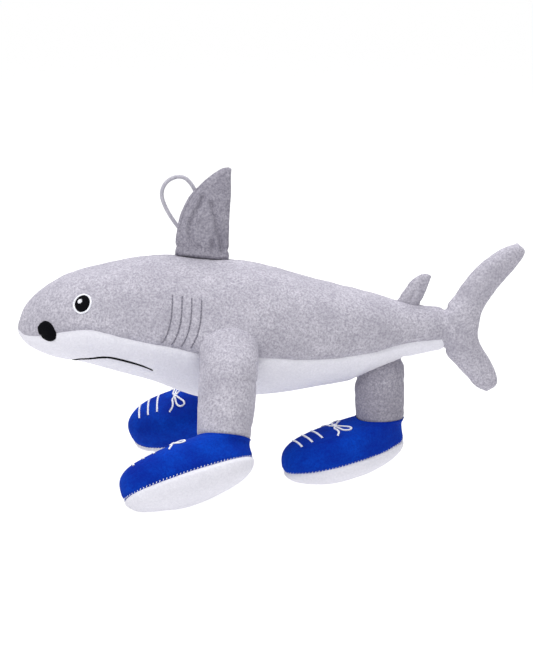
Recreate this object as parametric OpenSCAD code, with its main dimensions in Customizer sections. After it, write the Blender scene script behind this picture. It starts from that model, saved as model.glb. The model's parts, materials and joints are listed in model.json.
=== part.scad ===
// Plush shark on three legs, each in a plush laced shoe.
// The nose points to -X, the tail to +X, +Z is up and z = 0 is the floor it stands on.
// The origin is under the middle of the toy's length, on its plane of symmetry.

/* [Body] */
// Length of the body from the nose to the tail seam
body_length = 256; // [250:1:262]
// Height of the body at its deepest
body_depth = 84; // [80:1:86]
// Width of the body at its widest
body_width = 80; // [76:1:82]
// Height of the body's widest line above the floor
axis_height = 92; // [91:0.5:94]
// Thickness of the plush cloth
cloth = 1.2; // [1:0.1:1.6]

/* [Fins] */
// Length of the tail fin behind its seam
tail_length = 47.5; // [44:0.5:52]
// Height of the tail fin from tip to tip
tail_height = 90.4; // [84:0.2:94]
// Half thickness of the tail fin's stuffed root, which turns in the end of the body
tail_root_radius = 9.6; // [8.5:0.1:9.8]
// Half thickness of the tail fin's two lobes
tail_lobe_radius = 7.5; // [6:0.5:8]
// Height of the dorsal fin above its seam
dorsal_height = 49.5; // [46:0.5:56]
// Length of the dorsal fin's seam along the back
dorsal_chord = 32; // [28:1:36]
// Half thickness of the dorsal fin at its seam
dorsal_radius = 4.6; // [4:0.2:5.4]
// Height of the small rear dorsal fin above its seam
rear_dorsal_height = 17.4; // [14:0.2:20]
// Length of the rear dorsal fin's seam
rear_dorsal_chord = 13; // [11:1:15]
// Half thickness of the rear dorsal fin
rear_dorsal_radius = 2.8; // [2.4:0.2:3.2]

/* [Legs and shoes] */
// Radius of a front leg at its rounded top
front_leg_radius = 16.9; // [16:0.1:18]
// Radius of the rear leg at its rounded top
rear_leg_radius = 14.6; // [13:0.2:15]
// Angle that each front leg leans outwards
leg_splay = 23; // [18:1:26]
// Angle that each front leg leans back towards the tail as it rises
leg_sweep = 5.5; // [0:0.5:8]
// Angle that each front shoe rolls outwards
shoe_roll = 28; // [22:1:30]
// Angle that each front shoe points down at the toe
front_pitch = 19.5; // [17:0.5:23]
// Angle that the rear shoe points down at the toe
rear_pitch = 12.5; // [10:0.5:19]
// Angle that the rear shoe's toe turns to the toy's left
rear_yaw = 17; // [0:1:24]
// Length of a shoe
shoe_length = 78; // [74:1:80]
// Width of a shoe
shoe_width = 41; // [38:1:44]
// Depth of the white sole's bulge under its seam
sole_depth = 13.5; // [11:0.5:15]

/* [Face and hang loop] */
// Height of the embroidered ring of the eye
eye_height = 12; // [10:0.5:14]
// Length of an embroidered nostril
nostril_length = 13.4; // [11:0.2:15]
// Height of the embroidery above the plush
thread = 0.7; // [0.5:0.1:1]
// Diameter of the hang loop's cord
loop_diameter = 2.4; // [2:0.2:3]

/* [Hidden] */

GREY = [0.74, 0.73, 0.77];
WHITE = [0.94, 0.93, 0.96];
BLUE = [0.02, 0.26, 0.66];
BLACK = [0.05, 0.05, 0.07];
CREAM = [0.88, 0.88, 0.85];
GILL_GREY = [0.45, 0.45, 0.49];

LEFT = -1;
RIGHT = 1;
nose_x = -(body_length + tail_length) / 2;
tail_hinge_x = nose_x + body_length;
// Room between a skin and the stuffing inside it
ease = 0.4;
filling = cloth + ease;
// Room between two bodies that move
gap = 0.5;

// ---- Smooth curves through short tables of ratios ----

function segment(table, t, i = 0) =
    i >= len(table) - 2 || t < table[i + 1][0] ? i : segment(table, t, i + 1);

function slope(table, col, i) =
    let (before = max(i - 1, 0), after = min(i + 1, len(table) - 1))
    (table[after][col] - table[before][col]) / (table[after][0] - table[before][0]);

// The value of one column of a table, at t in its first column
function curve(table, col, t) =
    let (
        i = segment(table, t),
        span = table[i + 1][0] - table[i][0],
        u = (t - table[i][0]) / span,
        rise = slope(table, col, i) * span,
        run = slope(table, col, i + 1) * span
    )
    table[i][col] * (2 * u ^ 3 - 3 * u ^ 2 + 1) + rise * (u ^ 3 - 2 * u ^ 2 + u)
    + table[i + 1][col] * (3 * u ^ 2 - 2 * u ^ 3) + run * (u ^ 3 - u ^ 2);

function unit(v) = v / norm(v);

// ---- Closed solids from rows of points ----

function flat(rows) = [for (row = rows) each row];

function triangle(a, b, c) = a == b || b == c || c == a ? [] : [[a, b, c]];

function quad(a, b, c, d) = concat(triangle(a, b, c), triangle(a, c, d));

function turned(faces) = [for (f = faces) [f[2], f[1], f[0]]];

// The skin over rows of points numbered from first, closed round each row or not
function grid(rows, cols, first, closed) = [
    for (i = [0 : rows - 2], j = [0 : cols - (closed ? 1 : 2)])
        let (a = first + i * cols, next = (j + 1) % cols)
        each quad(a + j, a + next, a + cols + next, a + cols + j)
];

// Triangles from one point to a row of points
function fan(tip, cols, first, closed) = [
    for (j = [0 : cols - (closed ? 1 : 2)])
        each triangle(tip, first + (j + 1) % cols, first + j)
];

// The wall between two closed chains of point numbers
function wall(a, b) = [
    for (i = [0 : len(a) - 1])
        let (next = (i + 1) % len(a))
        each quad(a[i], a[next], b[next], b[i])
];

// The point numbers round the edge of an open grid, by way of its poles where it has them
function border(rows, cols, first, start, end) = concat(
    [for (i = [0 : rows - 1]) first + i * cols],
    is_undef(end) ? [for (j = [1 : cols - 2]) first + (rows - 1) * cols + j] : [end],
    [for (i = [rows - 1 : -1 : 0]) first + i * cols + cols - 1],
    is_undef(start) ? [for (j = [cols - 2 : -1 : 1]) first + j] : [start]
);

function ring_numbers(first, cols) = [for (j = [0 : cols - 1]) first + j];

// A sheet of cloth between an outer and an inner grid. start and end are pairs of poles
module sheet(outer, inner, start = undef, end = undef, closed = false) {
    rows = len(outer);
    cols = len(outer[0]);
    size = rows * cols;
    poles = concat(is_undef(start) ? [] : start, is_undef(end) ? [] : end);
    start_pole = is_undef(start) ? undef : 2 * size;
    end_pole = is_undef(end) ? undef : 2 * size + len(poles) - 2;
    start_inner = is_undef(start) ? undef : start_pole + 1;
    end_inner = is_undef(end) ? undef : end_pole + 1;
    last = size - cols;
    outer_faces = concat(
        grid(rows, cols, 0, closed),
        is_undef(start) ? [] : fan(start_pole, cols, 0, closed),
        is_undef(end) ? [] : turned(fan(end_pole, cols, last, closed))
    );
    inner_faces = concat(
        grid(rows, cols, size, closed),
        is_undef(start) ? [] : fan(start_inner, cols, size, closed),
        is_undef(end) ? [] : turned(fan(end_inner, cols, size + last, closed))
    );
    rim = closed
        ? concat(
            is_undef(start) ? turned(wall(ring_numbers(0, cols), ring_numbers(size, cols))) : [],
            is_undef(end) ? wall(ring_numbers(last, cols), ring_numbers(size + last, cols)) : []
        )
        : wall(
            border(rows, cols, 0, start_pole, end_pole),
            border(rows, cols, size, start_inner, end_inner)
        );
    polyhedron(concat(flat(outer), flat(inner), poles), concat(outer_faces, turned(inner_faces), rim));
}

// Closes a ring by joining its points in pairs, so a ring that lies on a cylinder stays on it
function pair_cap(first, cols) = [
    for (j = [0 : cols / 2 - 1])
        each quad(first + j, first + (cols - j) % cols, first + cols - j - 1, first + j + 1)
];

// A stuffed solid from closed rings, with a pole at its start and a pole or a pair cap at its end
module stuffed(rings, start, end = undef) {
    rows = len(rings);
    cols = len(rings[0]);
    size = rows * cols;
    ends = is_undef(end) ? [start] : [start, end];
    faces = concat(
        grid(rows, cols, 0, true),
        fan(size, cols, 0, true),
        is_undef(end)
            ? turned(pair_cap(size - cols, cols))
            : turned(fan(size + 1, cols, size - cols, true))
    );
    polyhedron(concat(flat(rings), ends), faces);
}

// ---- Body ----

// Fraction of the length, then height over and depth under the widest line and half width,
// as parts of body_depth and body_width
body_shape = [
    [0.00, 0.314, 0.178, 0.200],
    [0.08, 0.354, 0.210, 0.295],
    [0.15, 0.424, 0.236, 0.360],
    [0.30, 0.520, 0.360, 0.450],
    [0.43, 0.508, 0.497, 0.500],
    [0.55, 0.470, 0.480, 0.475],
    [0.70, 0.347, 0.426, 0.385],
    [0.82, 0.247, 0.345, 0.280],
    [0.91, 0.172, 0.220, 0.180],
    [1.00, 0.134, 0.165, 0.124]
];
// Fraction of the length, and the angle from the back down to the belly seam
seam_shape = [
    [0.00, 112], [0.05, 97], [0.09, 88], [0.15, 83.6], [0.18, 84], [0.22, 87.5], [0.30, 95.3],
    [0.36, 98.5], [0.43, 102.5], [0.55, 107], [0.70, 115], [0.82, 116], [0.91, 117], [1.00, 119]
];
// Part of the length over which the nose is rounded
nose_part = 0.12;
body_rows = 24;
back_cols = 9;
belly_cols = 13;
ring_cols = 24;

function body_fraction(i) = (i / body_rows) ^ 1.6;

function nose_round(t) = sqrt(1 - (1 - min(t / nose_part, 1)) ^ 2);

function seam_angle(t) = curve(seam_shape, 1, t);

// How far the end of the body reaches round the tail's root, at a distance from the middle
function bite(y) = sqrt(max((tail_root_radius + gap) ^ 2 - y ^ 2, 0));

// A point of the body, inset under its surface. The angle runs from the back to the left
function body_point(t, angle, inset = 0) =
    let (
        upper = curve(body_shape, 1, t) * body_depth - inset,
        lower = curve(body_shape, 2, t) * body_depth - inset,
        half = curve(body_shape, 3, t) * body_width - inset,
        y = -half * nose_round(t) * sin(angle),
        reach = cos(angle) > 0 ? upper : lower
    )
    [
        nose_x + inset * (1 - t) + body_length * t - t ^ 8 * bite(y),
        y,
        axis_height + reach * nose_round(t) * cos(angle)
    ];

function body_normal(t, angle) =
    let (
        along = body_point(t + 0.004, angle) - body_point(t - 0.004, angle),
        round = body_point(t, angle + 2) - body_point(t, angle - 2)
    )
    unit(cross(round, along));

// A point lifted off the body, a small way along it and round it from a starting place
function on_body(t, angle, along, round, lift) =
    let (
        here = body_point(t, angle),
        length_step = norm(body_point(t + 0.01, angle) - here) / 0.01,
        round_step = norm(body_point(t, angle + 4) - here) / 4,
        t2 = t + along / length_step,
        angle2 = angle + round / round_step
    )
    body_point(t2, angle2) + lift * body_normal(t2, angle2);

function body_pole(inset) = [nose_x + inset, 0, axis_height];

// Rows of a panel between two angles, each given as a share of the belly seam's angle
module body_panel(from, to, cols) {
    function angle(t, j) =
        let (a = from(seam_angle(t)), b = to(seam_angle(t)))
        b + (a - b) * j / (cols - 1);
    function rows(inset) = [
        for (i = [1 : body_rows])
            let (t = body_fraction(i))
            [for (j = [0 : cols - 1]) body_point(t, angle(t, j), inset)]
    ];
    sheet(rows(0), rows(cloth), start = [body_pole(0), body_pole(cloth)]);
}

module back_left() {
    color(GREY) body_panel(function (seam) 0, function (seam) seam, back_cols);
}

module back_right() {
    color(GREY) body_panel(function (seam) -seam, function (seam) 0, back_cols);
}

module belly() {
    color(WHITE) body_panel(function (seam) seam, function (seam) 360 - seam, belly_cols);
}

module body_stuffing() {
    rings = [
        for (i = [1 : body_rows])
            let (t = body_fraction(i))
            [for (j = [0 : ring_cols - 1]) body_point(t, 90 - j * 360 / ring_cols, filling)]
    ];
    color(CREAM) stuffed(rings, body_pole(filling));
}

// ---- Fins on the back ----

fin_cols = 9;
bead_turns = [30, 60, 90];
fin_steps = [0.98, 0.92, 0.82, 0.66, 0.48, 0.3, 0.14, 0];

// Height fraction, then leading and trailing edges as parts of the seam's length
dorsal_shape = [
    [0.00, -0.470, 0.520],
    [0.20, -0.472, 0.512],
    [0.42, -0.415, 0.502],
    [0.61, -0.289, 0.490],
    [0.76, -0.121, 0.478],
    [0.87, 0.039, 0.467],
    [0.955, 0.197, 0.455],
    [0.99, 0.300, 0.437],
    [1.00, 0.385, 0.385]
];
rear_dorsal_shape = [
    [0.00, -0.37, 0.66],
    [0.15, -0.29, 0.71],
    [0.38, -0.17, 0.775],
    [0.62, -0.03, 0.815],
    [0.86, 0.25, 0.845],
    [0.96, 0.43, 0.830],
    [1.00, 0.66, 0.66]
];

// A point of a fin that stands on a seam along X. across runs 0 to 180 over one side
function fin_point(shape, height, chord, radius, step, across, side, inset) =
    let (
        lead = curve(shape, 1, step) * chord + inset,
        trail = curve(shape, 2, step) * chord - inset,
        middle = (lead + trail) / 2,
        half = max((trail - lead) / 2, 0.2),
        thick = (radius - inset) * (1 - 0.25 * step) * sqrt(max(1 - step ^ 5, 0))
    )
    [middle - half * cos(across), side * thick * sin(across), step * (height - inset)];

// A point of the round bead under the fin, which turns about the seam
function bead_point(shape, chord, radius, turn, across, side, inset) =
    let (
        base = fin_point(shape, 1, chord, radius, 0, across, side, inset),
        round = max(abs(base[1]), 0.12)
    )
    [base[0], side * round * cos(turn), -round * sin(turn)];

function fin_rows(shape, height, chord, radius, side, inset) = concat(
    [
        for (step = fin_steps)
            [for (j = [0 : fin_cols - 1])
                fin_point(shape, height, chord, radius, step, j * 180 / (fin_cols - 1), side, inset)]
    ],
    [
        for (turn = bead_turns)
            [for (j = [0 : fin_cols - 1])
                bead_point(shape, chord, radius, turn, j * 180 / (fin_cols - 1), side, inset)]
    ]
);

function fin_tip(shape, height, chord, inset) =
    [shape[len(shape) - 1][1] * chord, 0, height - inset];

// One side of a fin's cloth, flat in the plane of symmetry where it is sewn to the other
module fin_side(shape, height, chord, radius, side) {
    outer = fin_rows(shape, height, chord, radius, side, 0);
    inner = fin_rows(shape, height, chord, radius, side, cloth);
    tips = [fin_tip(shape, height, chord, 0), fin_tip(shape, height, chord, cloth)];
    if (side == LEFT) sheet(outer, inner, start = tips);
    else mirror([0, 1, 0]) fin_side(shape, height, chord, radius, LEFT);
}

module fin_stuffing(shape, height, chord, radius) {
    left = fin_rows(shape, height, chord, radius, LEFT, filling);
    right = fin_rows(shape, height, chord, radius, RIGHT, filling);
    rings = [
        for (i = [0 : len(left) - 2])
            concat(left[i], [for (j = [fin_cols - 2 : -1 : 1]) right[i][j]])
    ];
    stuffed(rings, fin_tip(shape, height, chord, filling));
}

// Slope of the back under each fin, and the middle of the fin's seam
dorsal_slope = 5;
dorsal_place = [-42.5, 0, 140];
rear_dorsal_slope = 13;
rear_dorsal_place = [81, 0, 108.9];

module at_dorsal_seam() {
    translate(dorsal_place) rotate([0, dorsal_slope, 0]) children();
}

module at_rear_dorsal_seam() {
    translate(rear_dorsal_place) rotate([0, rear_dorsal_slope, 0]) children();
}

module dorsal_fin_side(side) {
    color(GREY) at_dorsal_seam()
        fin_side(dorsal_shape, dorsal_height, dorsal_chord, dorsal_radius, side);
}

module dorsal_fin_left() {
    dorsal_fin_side(LEFT);
}

module dorsal_fin_right() {
    dorsal_fin_side(RIGHT);
}

module dorsal_fin_stuffing() {
    color(CREAM) at_dorsal_seam()
        fin_stuffing(dorsal_shape, dorsal_height, dorsal_chord, dorsal_radius);
}

module rear_dorsal_side(side) {
    color(GREY) at_rear_dorsal_seam()
        fin_side(rear_dorsal_shape, rear_dorsal_height, rear_dorsal_chord, rear_dorsal_radius, side);
}

module rear_dorsal_left() {
    rear_dorsal_side(LEFT);
}

module rear_dorsal_right() {
    rear_dorsal_side(RIGHT);
}

module rear_dorsal_stuffing() {
    color(CREAM) at_rear_dorsal_seam()
        fin_stuffing(rear_dorsal_shape, rear_dorsal_height, rear_dorsal_chord, rear_dorsal_radius);
}

// ---- Hang loop ----

// The cord leaves the dorsal fin's right side, stands up beside it and comes back to it
loop_route = [
    [-43.1, 3.4, 145.2], [-43.1, 6.5, 148.2], [-43.6, 8, 155.2], [-44.1, 8.5, 165.2],
    [-46.1, 8.5, 174.2], [-51.1, 8.5, 180.7], [-57.1, 8.5, 181.7], [-63.1, 8.5, 178.2],
    [-65.6, 8.5, 171.7], [-63.6, 8.5, 164.2], [-59.1, 8.5, 156.2], [-53.6, 8, 149.2],
    [-49.1, 6.5, 145.2], [-48.1, 3.4, 143.7]
];
loop_sides = 8;
loop_samples = 2;

function catmull(p, q, r, s, u) =
    0.5 * (2 * q + (r - p) * u + (2 * p - 5 * q + 4 * r - s) * u ^ 2 + (3 * q - p - 3 * r + s) * u ^ 3);

function route_point(route, i, u) =
    let (last = len(route) - 1)
    catmull(route[max(i - 1, 0)], route[i], route[min(i + 1, last)], route[min(i + 2, last)], u);

function smooth_route(route, samples) = concat(
    [for (i = [0 : len(route) - 2], k = [0 : samples - 1]) route_point(route, i, k / samples)],
    [route[len(route) - 1]]
);

// Rings of points round a path, square to it
function swept(path, radius, sides, up) = [
    for (i = [0 : len(path) - 1])
        let (
            ahead = unit(path[min(i + 1, len(path) - 1)] - path[max(i - 1, 0)]),
            across = unit(cross(up, ahead)),
            over = cross(ahead, across)
        )
        [for (k = [0 : sides - 1])
            let (turn = -k * 360 / sides)
            path[i] + radius * (cos(turn) * across + sin(turn) * over)]
];

module cord(path, radius, sides, up) {
    stuffed(swept(path, radius, sides, up), path[0], path[len(path) - 1]);
}

module hang_loop() {
    color(GREY) cord(smooth_route(loop_route, loop_samples), loop_diameter / 2, loop_sides, [0.3, 1, 0.1]);
}

// ---- Tail fin ----

// Height fraction from the lower tip, then leading and trailing edges as parts of tail_length
tail_lead = [
    [0.00, 0.54], [0.03, 0.41], [0.11, 0.265], [0.19, 0.135], [0.27, 0.02],
    [0.55, 0.02], [0.67, 0.14], [0.81, 0.33], [0.90, 0.52], [0.96, 0.70], [1.00, 0.90]
];
tail_trail = [
    [0.00, 0.54], [0.03, 0.64], [0.07, 0.685], [0.15, 0.645], [0.23, 0.56], [0.32, 0.455],
    [0.39, 0.415], [0.46, 0.43], [0.55, 0.47], [0.69, 0.635], [0.85, 0.895],
    [0.92, 0.985], [0.96, 0.99], [1.00, 0.90]
];
tail_steps = [
    0.985, 0.95, 0.9, 0.84, 0.77, 0.69, 0.62, 0.575, 0.545, 0.42, 0.295,
    0.265, 0.21, 0.15, 0.1, 0.05, 0.015
];
tail_cols = 11;
tail_bottom = 51.8;
root_low = 0.29;
root_high = 0.55;

function tail_x(part) = tail_hinge_x + tail_length * part;

function lobe_radius(step) = tail_lobe_radius * sqrt(1 - (2 * step - 1) ^ 6);

// A point of the tail fin. Its root is a post of one radius about the tail's hinge
function tail_point(step, across, side, inset) =
    let (
        root = step > root_low && step < root_high,
        lead = root ? tail_hinge_x - tail_root_radius + inset : tail_x(curve(tail_lead, 1, step)) + inset,
        trail = tail_x(curve(tail_trail, 1, step)) - inset,
        thick = (root ? tail_root_radius : lobe_radius(step)) - inset,
        middle = root ? tail_hinge_x : lead + 0.42 * (trail - lead),
        reach = cos(across) > 0 ? middle - lead : trail - middle,
        half_height = tail_height / 2,
        height = (half_height - inset) * (2 * step - 1)
    )
    [middle - reach * cos(across), side * thick * sin(across), tail_bottom + half_height + height];

function tail_rows(side, inset) = [
    for (step = tail_steps)
        [for (j = [0 : tail_cols - 1]) tail_point(step, j * 180 / (tail_cols - 1), side, inset)]
];

function tail_tip(top, inset) = [
    tail_x(top ? 0.90 : 0.54),
    0,
    tail_bottom + (top ? tail_height - inset : inset)
];

module tail_fin_side(side) {
    if (side == LEFT)
        sheet(
            tail_rows(LEFT, 0), tail_rows(LEFT, cloth),
            start = [tail_tip(true, 0), tail_tip(true, cloth)],
            end = [tail_tip(false, 0), tail_tip(false, cloth)]
        );
    else mirror([0, 1, 0]) tail_fin_side(LEFT);
}

module tail_fin_left() {
    color(GREY) tail_fin_side(LEFT);
}

module tail_fin_right() {
    color(GREY) tail_fin_side(RIGHT);
}

module tail_fin_stuffing() {
    left = tail_rows(LEFT, filling);
    right = tail_rows(RIGHT, filling);
    rings = [
        for (i = [0 : len(left) - 1])
            concat(left[i], [for (j = [tail_cols - 2 : -1 : 1]) right[i][j]])
    ];
    color(CREAM) stuffed(rings, tail_tip(true, filling), tail_tip(false, filling));
}

// ---- Legs ----

// Centre of each leg's collar, where its shoe begins
front_ankle = [-30.3, 63, 38.5];
rear_ankle = [65, 0, 35.9];
// From the ankle up to the middle of the leg's rounded top, about which it swings
front_leg_length = 45;
rear_leg_length = 14.7;
// Radius of each leg at its collar
front_ankle_radius = 15.2;
rear_ankle_radius = 14.6;

// Half the outline of a leg, from its end at the collar to its rounded top
function leg_profile(top, bottom, length, end, inset) = concat(
    [[0, end], [bottom - inset, end]],
    [for (turn = [0 : 15 : 75]) [(top - inset) * cos(turn), length + (top - inset) * sin(turn)]],
    [[0, length + top - inset]]
);

module front_left_form(end, inset) {
    flat_at = -body_width / 2 - gap - inset;
    intersection() {
        translate([front_ankle[0], -front_ankle[1], front_ankle[2]]) rotate([-leg_splay, leg_sweep, 0])
            rotate_extrude($fn = 48)
                polygon(leg_profile(front_leg_radius, front_ankle_radius, front_leg_length, end, inset));
        translate([front_ankle[0] - 60, flat_at - 200, -50]) cube([120, 200, 300]);
    }
}

module rear_form(end, inset) {
    translate(rear_ankle)
        rotate_extrude($fn = 48)
            polygon(leg_profile(rear_leg_radius, rear_ankle_radius, rear_leg_length, end, inset));
}

// A front leg is flat where it lies against the side of the body
module front_left_leg() {
    color(GREY) difference() {
        front_left_form(0, 0);
        front_left_form(-5, cloth);
    }
}

module front_left_leg_stuffing() {
    color(CREAM) front_left_form(ease, filling);
}

module front_right_leg() {
    mirror([0, 1, 0]) front_left_leg();
}

module front_right_leg_stuffing() {
    mirror([0, 1, 0]) front_left_leg_stuffing();
}

module rear_leg() {
    color(GREY) difference() {
        rear_form(0, 0);
        rear_form(-5, cloth);
    }
}

module rear_leg_stuffing() {
    color(CREAM) rear_form(ease, filling);
}

// ---- Shoes ----

shoe_cols = 24;
upper_rows = 8;
sole_angles = [0, 18, 36, 54, 72];
// Height of the ankle over the seam between the upper and the sole
seam_drop = 16.4;
// Centre of the shoe's outline, from the ankle towards the toe
shoe_middle = -26.8;
toe_lift = 1;
// How square the upper is in profile
dome_power = 4;

function turn_x(v, a) = [v[0], v[1] * cos(a) - v[2] * sin(a), v[1] * sin(a) + v[2] * cos(a)];

// Lowers -X for a positive angle
function turn_y(v, a) = [v[0] * cos(a) - v[2] * sin(a), v[1], v[0] * sin(a) + v[2] * cos(a)];

function turn_z(v, a) = [v[0] * cos(a) - v[1] * sin(a), v[0] * sin(a) + v[1] * cos(a), v[2]];

// How far the front shoes' laces sit towards their outer sides
lace_shift = 2.5;
// A foot is its ankle, its roll, pitch and yaw, its ankle's radius, its leg's splay and sweep,
// and how far its laces sit to the left
front_left_foot = [
    [front_ankle[0], -front_ankle[1], front_ankle[2]],
    -shoe_roll, front_pitch, 0, front_ankle_radius, -leg_splay, leg_sweep, lace_shift
];
rear_foot = [rear_ankle, 0, rear_pitch, rear_yaw, rear_ankle_radius, 0, 0, 0];

// From a shoe's own axes, with the ankle as origin, to the toy's
function shoe_place(p, foot) = foot[0] + turn_z(turn_x(turn_y(p, foot[2]), foot[1]), foot[3]);

function above(p, floor) = [p[0], p[1], max(p[2], floor)];

// The seam between upper and sole, at an angle from the heel
function shoe_outline(turn, inset) =
    let (
        half_length = shoe_length / 2 - inset,
        half_width = (shoe_width / 2 - inset) * (1 - 0.09 * cos(turn)),
        toe = (1 - cos(turn)) / 2
    )
    [shoe_middle + half_length * cos(turn), half_width * sin(turn), -seam_drop + toe_lift * toe ^ 3];

// The collar, square to the leg
function collar(turn, foot, inset) =
    let (
        side = foot[4] - inset,
        rim = turn_y(turn_x([side * cos(turn), side * sin(turn), 0], foot[5]), -foot[6])
    )
    turn_y(turn_x(rim, -foot[1]), -foot[2]);

function dome(s) = (1 - min(s, 0.999) ^ dome_power) ^ (1 / dome_power);

// A point of the upper: step 0 is the collar and step 1 is the seam of the sole
function upper_point(turn, step, foot, inset) =
    let (
        edge = shoe_outline(turn, inset),
        rim = collar(turn, foot, inset),
        span = norm([edge[0] - rim[0], edge[1] - rim[1]]),
        start = asin(min(0.97, 1.02 * foot[4] / (foot[4] + span))),
        now = start + (90 - start) * step,
        out = (sin(now) - sin(start)) / (1 - sin(start)),
        up = step >= 1 ? 0 : dome(sin(now)) / dome(sin(start)),
        sink = inset * min(1, 3 * step)
    )
    [
        rim[0] + (edge[0] - rim[0]) * out,
        rim[1] + (edge[1] - rim[1]) * out,
        edge[2] + (rim[2] - edge[2] - sink) * up
    ];

function upper_rings(foot, inset) = [
    for (i = [0 : upper_rows])
        [for (j = [0 : shoe_cols - 1])
            shoe_place(upper_point(j * 360 / shoe_cols, i / upper_rows, foot, inset), foot)]
];

// A point of the bulging sole: angle 0 is its seam and 90 the middle of its underside
function sole_point(turn, angle, inset) =
    let (
        edge = shoe_outline(turn, inset),
        shrink = cos(angle) ^ 0.8,
        sink = (sole_depth - inset) * sin(angle)
    )
    [shoe_middle + (edge[0] - shoe_middle) * shrink, edge[1] * shrink, edge[2] - sink];

// The sole is pressed flat where it meets the floor
function sole_rings(foot, inset) = [
    for (angle = sole_angles)
        [for (j = [0 : shoe_cols - 1])
            above(shoe_place(sole_point(j * 360 / shoe_cols, angle, inset), foot), inset)]
];

function sole_pole(foot, inset) =
    above(shoe_place([shoe_middle, 0, -seam_drop - sole_depth + inset], foot), inset);

module shoe_upper(foot) {
    color(BLUE) sheet(upper_rings(foot, 0), upper_rings(foot, cloth), closed = true);
}

module shoe_sole(foot) {
    color(WHITE) sheet(
        sole_rings(foot, 0), sole_rings(foot, cloth),
        end = [sole_pole(foot, 0), sole_pole(foot, cloth)], closed = true
    );
}

module shoe_stuffing(foot) {
    sole = sole_rings(foot, filling);
    rings = concat(upper_rings(foot, filling), [for (i = [1 : len(sole) - 1]) sole[i]]);
    color(CREAM) stuffed(rings, foot[0], sole_pole(foot, filling));
}

// ---- Laces, embroidered over the instep ----

lace_radius = 0.6;
lace_lift = 0.4;
// Each lace bar is a distance ahead of the ankle and half a width
lace_bars = [[54, 8], [47.5, 9.2], [41, 9.8]];
// Bow and tails as distances across the shoe and ahead of the ankle
bow = [[1, 28], [4, 25.5], [8.5, 22.5], [11.5, 23.5], [10.5, 27], [6, 28], [2, 28.8]];
lace_tail = [[1.5, 29.5], [5, 30.5], [10, 30.5], [13.5, 32.5]];

// The step down the upper, on the line at an angle, that is a distance ahead of the ankle
function step_ahead(turn, ahead, foot, low = 0, high = 1, tries = 12) =
    let (step = (low + high) / 2, short = -upper_point(turn, step, foot, 0)[0] < ahead)
    tries == 0
        ? step
        : step_ahead(turn, ahead, foot, short ? step : low, short ? high : step, tries - 1);

// A point of the upper at distances across the shoe and ahead of the ankle
function over_shoe(across, ahead, foot, low = 0, high = 80, tries = 12) =
    let (
        turn = (low + high) / 2,
        heading = 180 + sign(across) * turn,
        here = upper_point(heading, step_ahead(heading, ahead, foot), foot, 0),
        short = abs(here[1]) < abs(across)
    )
    tries == 0
        ? here
        : over_shoe(across, ahead, foot, short ? turn : low, short ? high : turn, tries - 1);

function lace_point(place, foot) =
    let (here = over_shoe(place[0] - foot[7], place[1], foot), inside = [shoe_middle, 0, -seam_drop])
    shoe_place(here + unit(here - inside) * (lace_radius + lace_lift), foot);

module lace(places, foot) {
    cord([for (place = places) lace_point(place, foot)], lace_radius, 6, [0.2, 0.05, 1]);
}

function lace_side(places, side) = [for (place = places) [side * place[0], place[1]]];

module laces(foot) {
    color(WHITE) {
        for (bar = lace_bars)
            lace([for (share = [-1 : 0.25 : 1]) [share * bar[1], bar[0]]], foot);
        for (side = [LEFT, RIGHT]) {
            lace(lace_side(bow, side), foot);
            lace(lace_side(lace_tail, side), foot);
        }
    }
}

module front_left_shoe_upper() {
    shoe_upper(front_left_foot);
}

module front_left_shoe_sole() {
    shoe_sole(front_left_foot);
}

module front_left_shoe_stuffing() {
    shoe_stuffing(front_left_foot);
}

module front_left_laces() {
    laces(front_left_foot);
}

module front_right_shoe_upper() {
    mirror([0, 1, 0]) front_left_shoe_upper();
}

module front_right_shoe_sole() {
    mirror([0, 1, 0]) front_left_shoe_sole();
}

module front_right_shoe_stuffing() {
    mirror([0, 1, 0]) front_left_shoe_stuffing();
}

module front_right_laces() {
    mirror([0, 1, 0]) front_left_laces();
}

module rear_shoe_upper() {
    shoe_upper(rear_foot);
}

module rear_shoe_sole() {
    shoe_sole(rear_foot);
}

module rear_shoe_stuffing() {
    shoe_stuffing(rear_foot);
}

module rear_laces() {
    laces(rear_foot);
}

// ---- Face, embroidered on the head ----

patch_cols = 20;
eye_place = [0.156, 58.2];
nostril_place = [0.072, 88];

// An oval of thread that follows the body. low and high are its heights off the plush
module patch(place, length, height, tilt, low, high) {
    function ring(size, lift) = [
        for (j = [0 : patch_cols - 1])
            let (
                turn = -j * 360 / patch_cols,
                u = size * length / 2 * cos(turn),
                v = size * height / 2 * sin(turn)
            )
            on_body(place[0], place[1], u * cos(tilt) - v * sin(tilt), u * sin(tilt) + v * cos(tilt), lift)
    ];
    sheet(
        [ring(0.5, high), ring(1, high)], [ring(0.5, low), ring(1, low)],
        start = [on_body(place[0], place[1], 0, 0, high), on_body(place[0], place[1], 0, 0, low)],
        closed = true
    );
}

module both_sides() {
    children();
    mirror([0, 1, 0]) children();
}

module eye_rings() {
    color(WHITE) both_sides() patch(eye_place, eye_height * 0.94, eye_height, 15, 0.12, thread);
}

module pupils() {
    color(BLACK) both_sides()
        patch(eye_place, eye_height * 0.76, eye_height * 0.84, 15, thread + 0.1, 1.8 * thread);
}

module eye_glints() {
    color(WHITE) both_sides()
        patch([eye_place[0] - 0.004, eye_place[1] - 4], 2.4, 2.4, 0, 1.8 * thread + 0.1, 2.4 * thread);
}

module nostrils() {
    color(BLACK) both_sides()
        patch(nostril_place, nostril_length, nostril_length * 0.8, 42, 0.15, 1.4 * thread);
}

// A line of thread along places on the body, each a fraction of the length and an angle
module stitch_line(places, width) {
    points = [for (place = places) on_body(place[0], place[1], 0, 0, width / 2 + 0.15)];
    cord(points, width / 2, 6, [0.1, 0.15, 1]);
}

gill_count = 4;
first_gill = 0.361;
gill_pitch = 0.022;
gill_sweep = 0.028;
gill_top = 54.5;
gill_drop = 41.5;

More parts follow.
